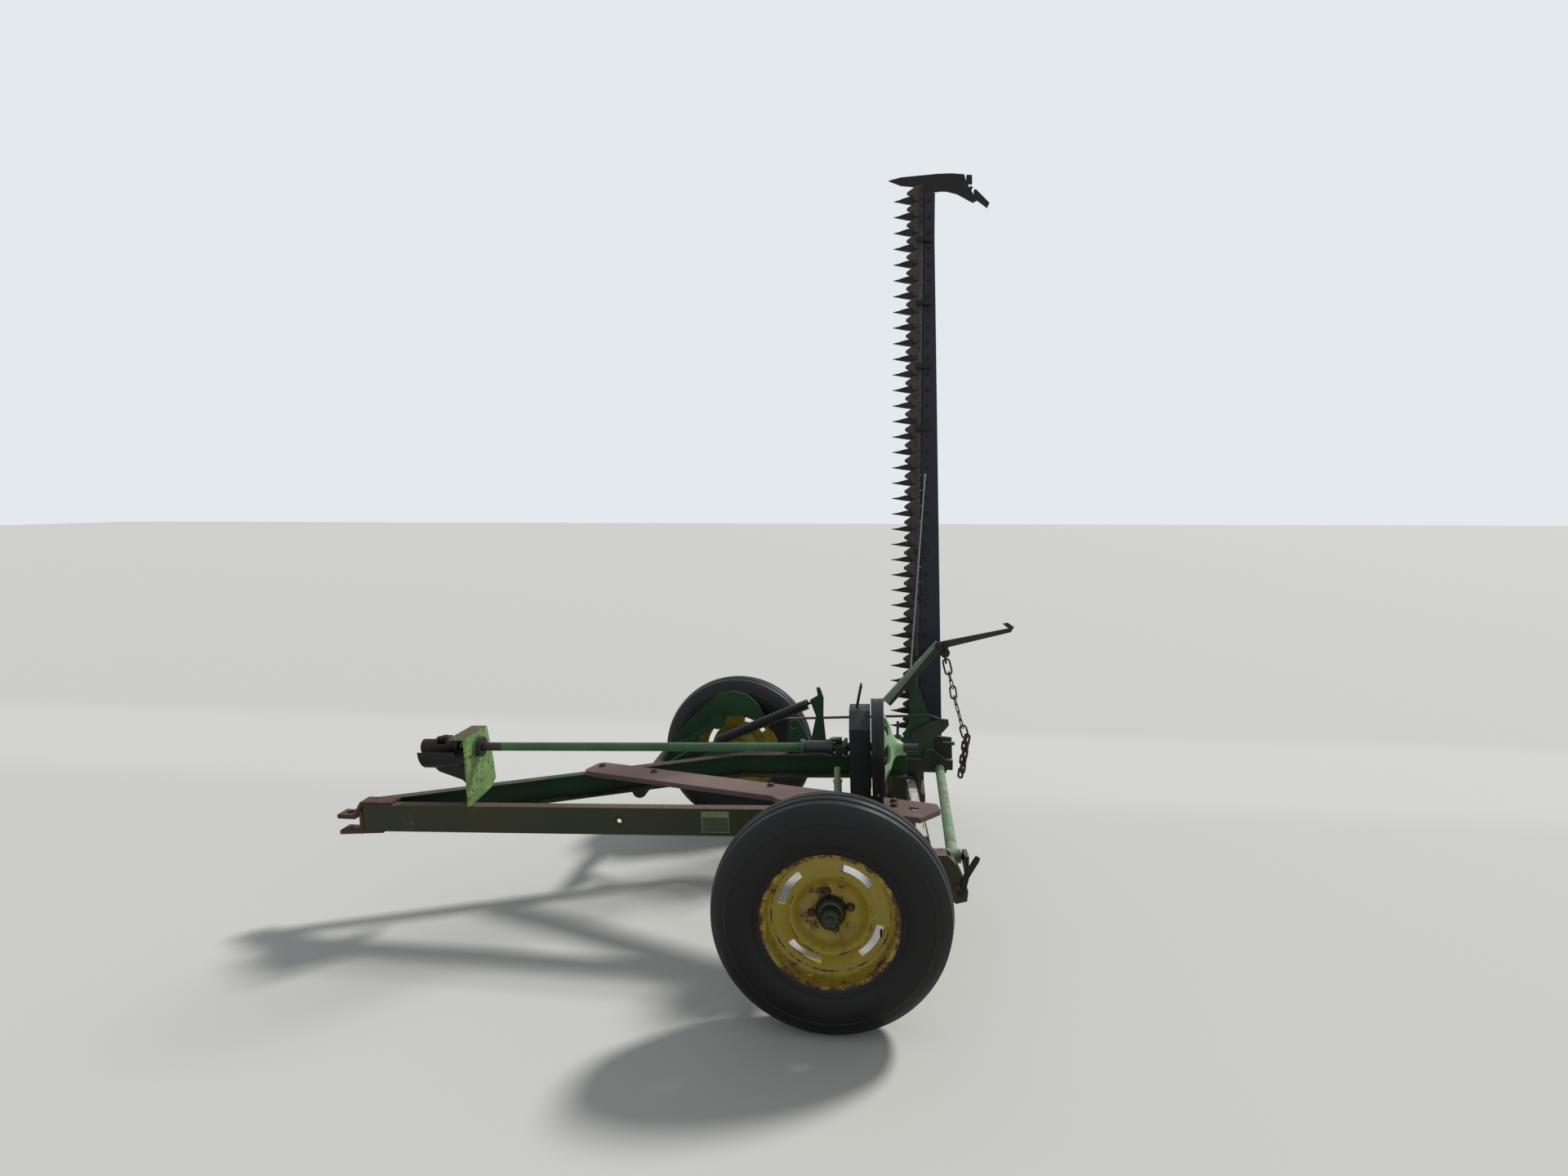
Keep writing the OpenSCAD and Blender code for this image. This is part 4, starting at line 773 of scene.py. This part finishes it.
# The drag bar: a thick tube in light green with brown patches, hinged in the bracket behind the left
# channel. The bracket is a box arm in the frame's green, with a small bent lever on its face.
# Scuffed enamel: light green that has rubbed through to brown in patches
drag_green = enamel("drag_enamel", "#54764F", "#7F9A76", rust_and_light=("#5A5146", "#8B8474"), limit=0.70, top=0.05,
                    wear=0.10, patch=22, gloss=0.5)
rounded_copy("drag_bar", drag_green)
rounded_copy("drag_bracket", frame_green, 1.5 * mm)

# Heights over the ground: the hitch's, which is the frame's nought, and the yoke's
hitch_h, yoke_h = 354, 352
standing = Matrix.Translation((0, 0, -hitch_h * mm)) @ Matrix.Scale(mm, 4)


def cut_plate(name, outline, near, far, to_world, finish, body, round_over=1 * mm):
    """A plate cut to an outline of (x, z) in millimetres, between two distances to the side."""
    shape = bmesh.new()
    face = shape.faces.new([shape.verts.new((x, near, z)) for x, z in outline])
    grown_out = bmesh.ops.extrude_face_region(shape, geom=[face])
    moved = [v for v in grown_out["geom"] if isinstance(v, bmesh.types.BMVert)]
    bmesh.ops.translate(shape, verts=moved, vec=(0, far - near, 0))
    shape.transform(to_world)
    return softened(name, shape, round_over, finish, body)


bracket_face, lever_thick, lever_gap = -131, 8, 0.2
lever_outline = [(2294, 250), (2300, 272), (2312, 322), (2344, 380), (2352, 392), (2366, 384), (2362, 371),
                 (2331, 314), (2320, 262), (2316, 244), (2302, 240)]
cut_plate("bracket_lever", lever_outline, bracket_face - lever_thick, bracket_face - lever_gap, standing,
          old_iron, "frame")

# The yoke over the pitman, a casting, and the lift gear on it: the standard, the lift arm of angle iron,
# the hooked strap and the tilt lever. The float spring stands on its bolt beside the standard.
# Dark casting enamel: rough and dull, with painted light: its tops are painted pale, as if lit from above
cast_green_painted_light = enamel("cast_enamel_painted_light", "#161A12", "#242A1B", rust_and_light=("#6E7560", "#8F957C"), limit=0.86, top=0.34,
                    wear=0.10, patch=24, gloss=0.6, shine=0.3)
rounded_copy("yoke", cast_green_painted_light, 1.5 * mm)
# Handled enamel: dark olive with rubbed pale edges
lever_green = enamel("lever_enamel", "#20281A", "#303726", rust_and_light=("#4B5340", "#6D745C"), limit=0.82, top=0.2,
                     wear=0.2, patch=18, shine=0.35)
for name in ("tilt_lever", "hook_strap"):
    rounded_copy(name, lever_green, 1.5 * mm)
rounded_copy("lift_standard", arm_green)
# Dark green enamel on the angle iron, with painted highlight: pale tops and edges, and a pale strip painted
# along the arm where its flange would catch the light
lift_green_painted_highlight = enamel("lift_enamel_painted_highlight", "#1A2A1D", "#27382A", rust_and_light=("#586A58", "#82907F"), limit=0.88, top=0.75,
                    wear=0.32, patch=11, shine=0.35,
                    bands=[((-0.7911, 0, 0.6118), -1.4501, 0.030, "#7C8B76")])
rounded_copy("lift_arm", lift_green_painted_highlight)
coil_over_yoke, coil_half = 52, 43
coil_middle = yoke_h + coil_over_yoke - hitch_h
# Spring steel: a dark bolt, and its coil painted pale grey
float_steel = enamel("float_steel", "#141312", "#211E1C", rust_and_light=("#33241D", "#54392C"), limit=0.78, top=0.05,
                     wear=0, patch=30, gloss=0.5,
                     bands=[((0, 0, 1), coil_middle * mm, coil_half * mm, "#B0AEA0")])
rounded_copy("float_spring", float_steel, 0)
left = (0, -1, 0)
lift_rows = [((2306, 1021, 905 - hitch_h), left), ((2338, 1029, 900 - hitch_h), left)]
bolts("lift_bolts", lift_rows, Matrix.Scale(mm, 4), body_of["lift_arm"], slot_of["lift_arm"], old_iron,
      radius=12.5 * mm, height=11 * mm)

# The chain: welded links of round wire, which hang from an eye on the hooked strap. Large links and
# narrow ones follow each other, and the last stretch is doubled.
# Dark rusted wire: nearly black and matt, with brown specks
chain_rust = enamel("chain_rust", "#1A1412", "#2D231F", rust_and_light=("#281C18", "#4C372C"), limit=0.62, top=0.05,
                    wear=0, patch=40, gloss=0.75)
loop_tree, given, result = tree_of("chain_links", Across="Float", Along="Float", Wire="Float",
                                   Metal="Material")
ring = add(loop_tree, "GeometryNodeCurvePrimitiveCircle", {"Resolution": 20, "Radius": given["Across"]})
spot = add(loop_tree, "GeometryNodeInputPosition")
axes = add(loop_tree, "ShaderNodeSeparateXYZ", {0: spot})
side_of = add(loop_tree, "ShaderNodeMath", {0: axes.outputs["Y"]}, operation="SIGN")
slack = add(loop_tree, "ShaderNodeMath", {0: given["Along"], 1: given["Across"]}, operation="SUBTRACT")
stretch = add(loop_tree, "ShaderNodeMath", {0: side_of, 1: slack}, operation="MULTIPLY")
push = add(loop_tree, "ShaderNodeCombineXYZ", {1: stretch})
oblong = add(loop_tree, "GeometryNodeSetPosition", {"Geometry": ring, "Offset": push})
section = add(loop_tree, "GeometryNodeCurvePrimitiveCircle", {"Resolution": 8, "Radius": given["Wire"]})
link = add(loop_tree, "GeometryNodeCurveToMesh", {"Curve": oblong, "Profile Curve": section})
soft = add(loop_tree, "GeometryNodeSetShadeSmooth", {0: link})
upright = add(loop_tree, "GeometryNodeTransform", {0: soft, "Rotation": (math.pi / 2, 0, 0)})
coated(loop_tree, at_places(loop_tree, given, upright), given, result)

chain_y = 1053
# Runs of the chain: from and to, behind the pin and over the ground, links, half width, wire, first turn
chain_runs = [(2338, 880, 2345, 822, 1, 14, 5, 0), (2345, 832, 2361, 766, 1, 16, 4.5, 90),
              (2360, 772, 2380, 696, 2, 7, 3, 30), (2379, 702, 2387, 648, 1, 14, 4, 90),
              (2387, 655, 2431, 504, 4, 6.5, 3, 40), (2431, 510, 2446, 458, 1, 15, 4.5, 90),
              (2446, 466, 2425, 262, 6, 10, 5.5, 20), (2458, 462, 2436, 285, 5, 9, 5.5, 65)]
for number, (x0, h0, x1, h1, count, half_width, wire, first) in enumerate(chain_runs):
    start = Vector((x0, chain_y, h0 - hitch_h)) * mm
    end = Vector((x1, chain_y, h1 - hitch_h)) * mm
    step = (end - start) / count
    lie = step.to_track_quat("Z", "Y").to_matrix()
    turns = [(lie @ Matrix.Rotation(math.radians(first + 90 * (i % 2)), 3, "Z")).to_euler()
             for i in range(count)]
    links = turned_places("links", [start + step * (i + 0.5) for i in range(count)], turns)
    grown(f"chain_run_{number}", loop_tree, links, "drag", slot_of["lift_chain"], replaced="lift_chain",
          Across=half_width * mm, Along=step.length / 2 + wire * mm, Wire=wire * mm, Metal=chain_rust)
eye_over_yoke = 516
eye_x, eye_y, eye_h = 2338.5, 1039.3, yoke_h + eye_over_yoke
for name, end_y, radius, sides in (("chain_eye", 1062, 4.5, 12), ("chain_washer", 1043, 24, 24)):
    round_bar(name, [(eye_x, eye_y, eye_h), (eye_x, end_y, eye_h)], radius, standing, chain_rust, "drag",
              sides, replaced="lift_chain")

# The cutter bar: a long flat bar of spring steel that narrows outwards, with the malleable guards, the
# clips, the two shoes and a bright stay fixed to it. The knife and its sections slide in the guards.
# Blued steel: dark and cool, with a low gleam
bar_black = enamel("bar_steel", "#0E1420", "#171D29", rust_and_light=("#211B1A", "#382B27"), limit=0.86, top=0.05,
                   wear=0.10, patch=7, gloss=0.42, shine=0.35)
rounded_copy("cutter_bar", bar_black, 1.5 * mm)
# Malleable iron: black with warm brown specks
guard_iron = enamel("guard_iron", "#0E0D0D", "#1A1715", rust_and_light=("#241B17", "#41312A"), limit=0.80, top=0.05,
                    wear=0.05, patch=20, gloss=0.52, shine=0.3)
rounded_copy("guards", guard_iron, 0.8 * mm)
rounded_copy("bar_clips", guard_iron, 0.8 * mm)
rounded_copy("outer_shoe", guard_iron)
rounded_copy("inner_shoe", frame_green)
# Knife steel: brown, rubbed smoother than the guards
knife_steel = enamel("knife_steel", "#241F1C", "#38302A", rust_and_light=("#2C1F19", "#51392C"), limit=0.70, top=0.0,
                     wear=0, patch=24, gloss=0.48)
rounded_copy("knife", knife_steel, 0)
# Bare drawn rod: bright grey with a little rust
stay_steel = enamel("stay_steel", "#8D9196", "#A9ADB1", rust_and_light=("#4A3A31", "#6B5547"), limit=0.90, top=0,
                    wear=0, patch=14, gloss=0.35)
rounded_copy("stay_rod", stay_steel, 0)

hinge_x, hinge_y, hinge_h = 2240, 1169, 109
rake, lean = 0.31, 3.11
folded = (Matrix.Scale(mm, 4) @ Matrix.Translation((hinge_x, hinge_y, hinge_h - hitch_h))
          @ Matrix.Rotation(math.radians(-rake), 4, "Y") @ Matrix.Translation((-hinge_x, 0, 0))
          @ Matrix.Rotation(math.radians(90 - lean), 4, "X"))
tip_x, first_guard, pitch, guard_count = 2090, 276.5, 76.2, 36
guard_places = [first_guard + i * pitch for i in range(guard_count)]
bolts_behind_tip, under_guards, over_bar = 173, -66, -46
guard_rows = [((tip_x + bolts_behind_tip, y, face), (0, 0, way))
              for face, way in ((under_guards, -1), (over_bar, 1)) for y in guard_places]
bolts("guard_bolts", guard_rows, folded, "cutter", "dark_steel", guard_iron, radius=8.5 * mm,
      height=7 * mm, washer=1.0)
# Two rivets hold each section, but none is made where the stroke would take it under a clip
rivets_behind_tip, over_knife, section_shift, rivet_half = 132, -34.5, 32, 22
clip_shift, clip_room = 38, 64
clips = [guard_places[i] + clip_shift for i in (1, 5, 9, 12, 20, 24, 28, 32)]
rivet_places = [y + section_shift + s for y in guard_places for s in (-rivet_half, rivet_half)]
rivet_rows = [((tip_x + rivets_behind_tip, y, over_knife), (0, 0, 1)) for y in rivet_places
              if min(abs(y - clip) for clip in clips) > clip_room]
bolts("knife_rivets", rivet_rows, folded, "sickle", "dark_steel", knife_steel, radius=5 * mm,
      height=2.5 * mm, washer=1.0, sides=10)

# Bolts of the frame and of the drag gear, of rusted steel, screwed down on washers: the brace's, the
# front bearing's, the spring lever's, the crank hanger's and the axle's.
brace_top, lever_face, arm_face = 100, 608, 626
bearing_x, shaft_y, shaft_h, flange_side, flange_rise = 491, 51, 284, 46, 17
up, forward = (0, 0, 1), (-1, 0, 0)
frame_rows = [((881, 379, brace_top), up), ((1121, 310, brace_top), up), ((1620, 157, brace_top), up),
              ((2083, -40, brace_top), up), ((2083, 4, brace_top), up),
              ((bearing_x, shaft_y + flange_side, shaft_h + flange_rise), forward),
              ((bearing_x, shaft_y - flange_side, shaft_h - flange_rise), forward),
              ((1750, lever_face, 104), left), ((1786, lever_face, 104), left),
              ((1660, arm_face, 106), left), ((1722, arm_face, 106), left),
              ((2288, bracket_face, -151), left), ((1945, bracket_face, 40), left),
              ((1945, bracket_face, 4), left)]
bolts("frame_bolts", frame_rows, fallen, "frame", "rusty_steel", bolt_brown, radius=11.5 * mm,
      height=9 * mm, washer=1.4)
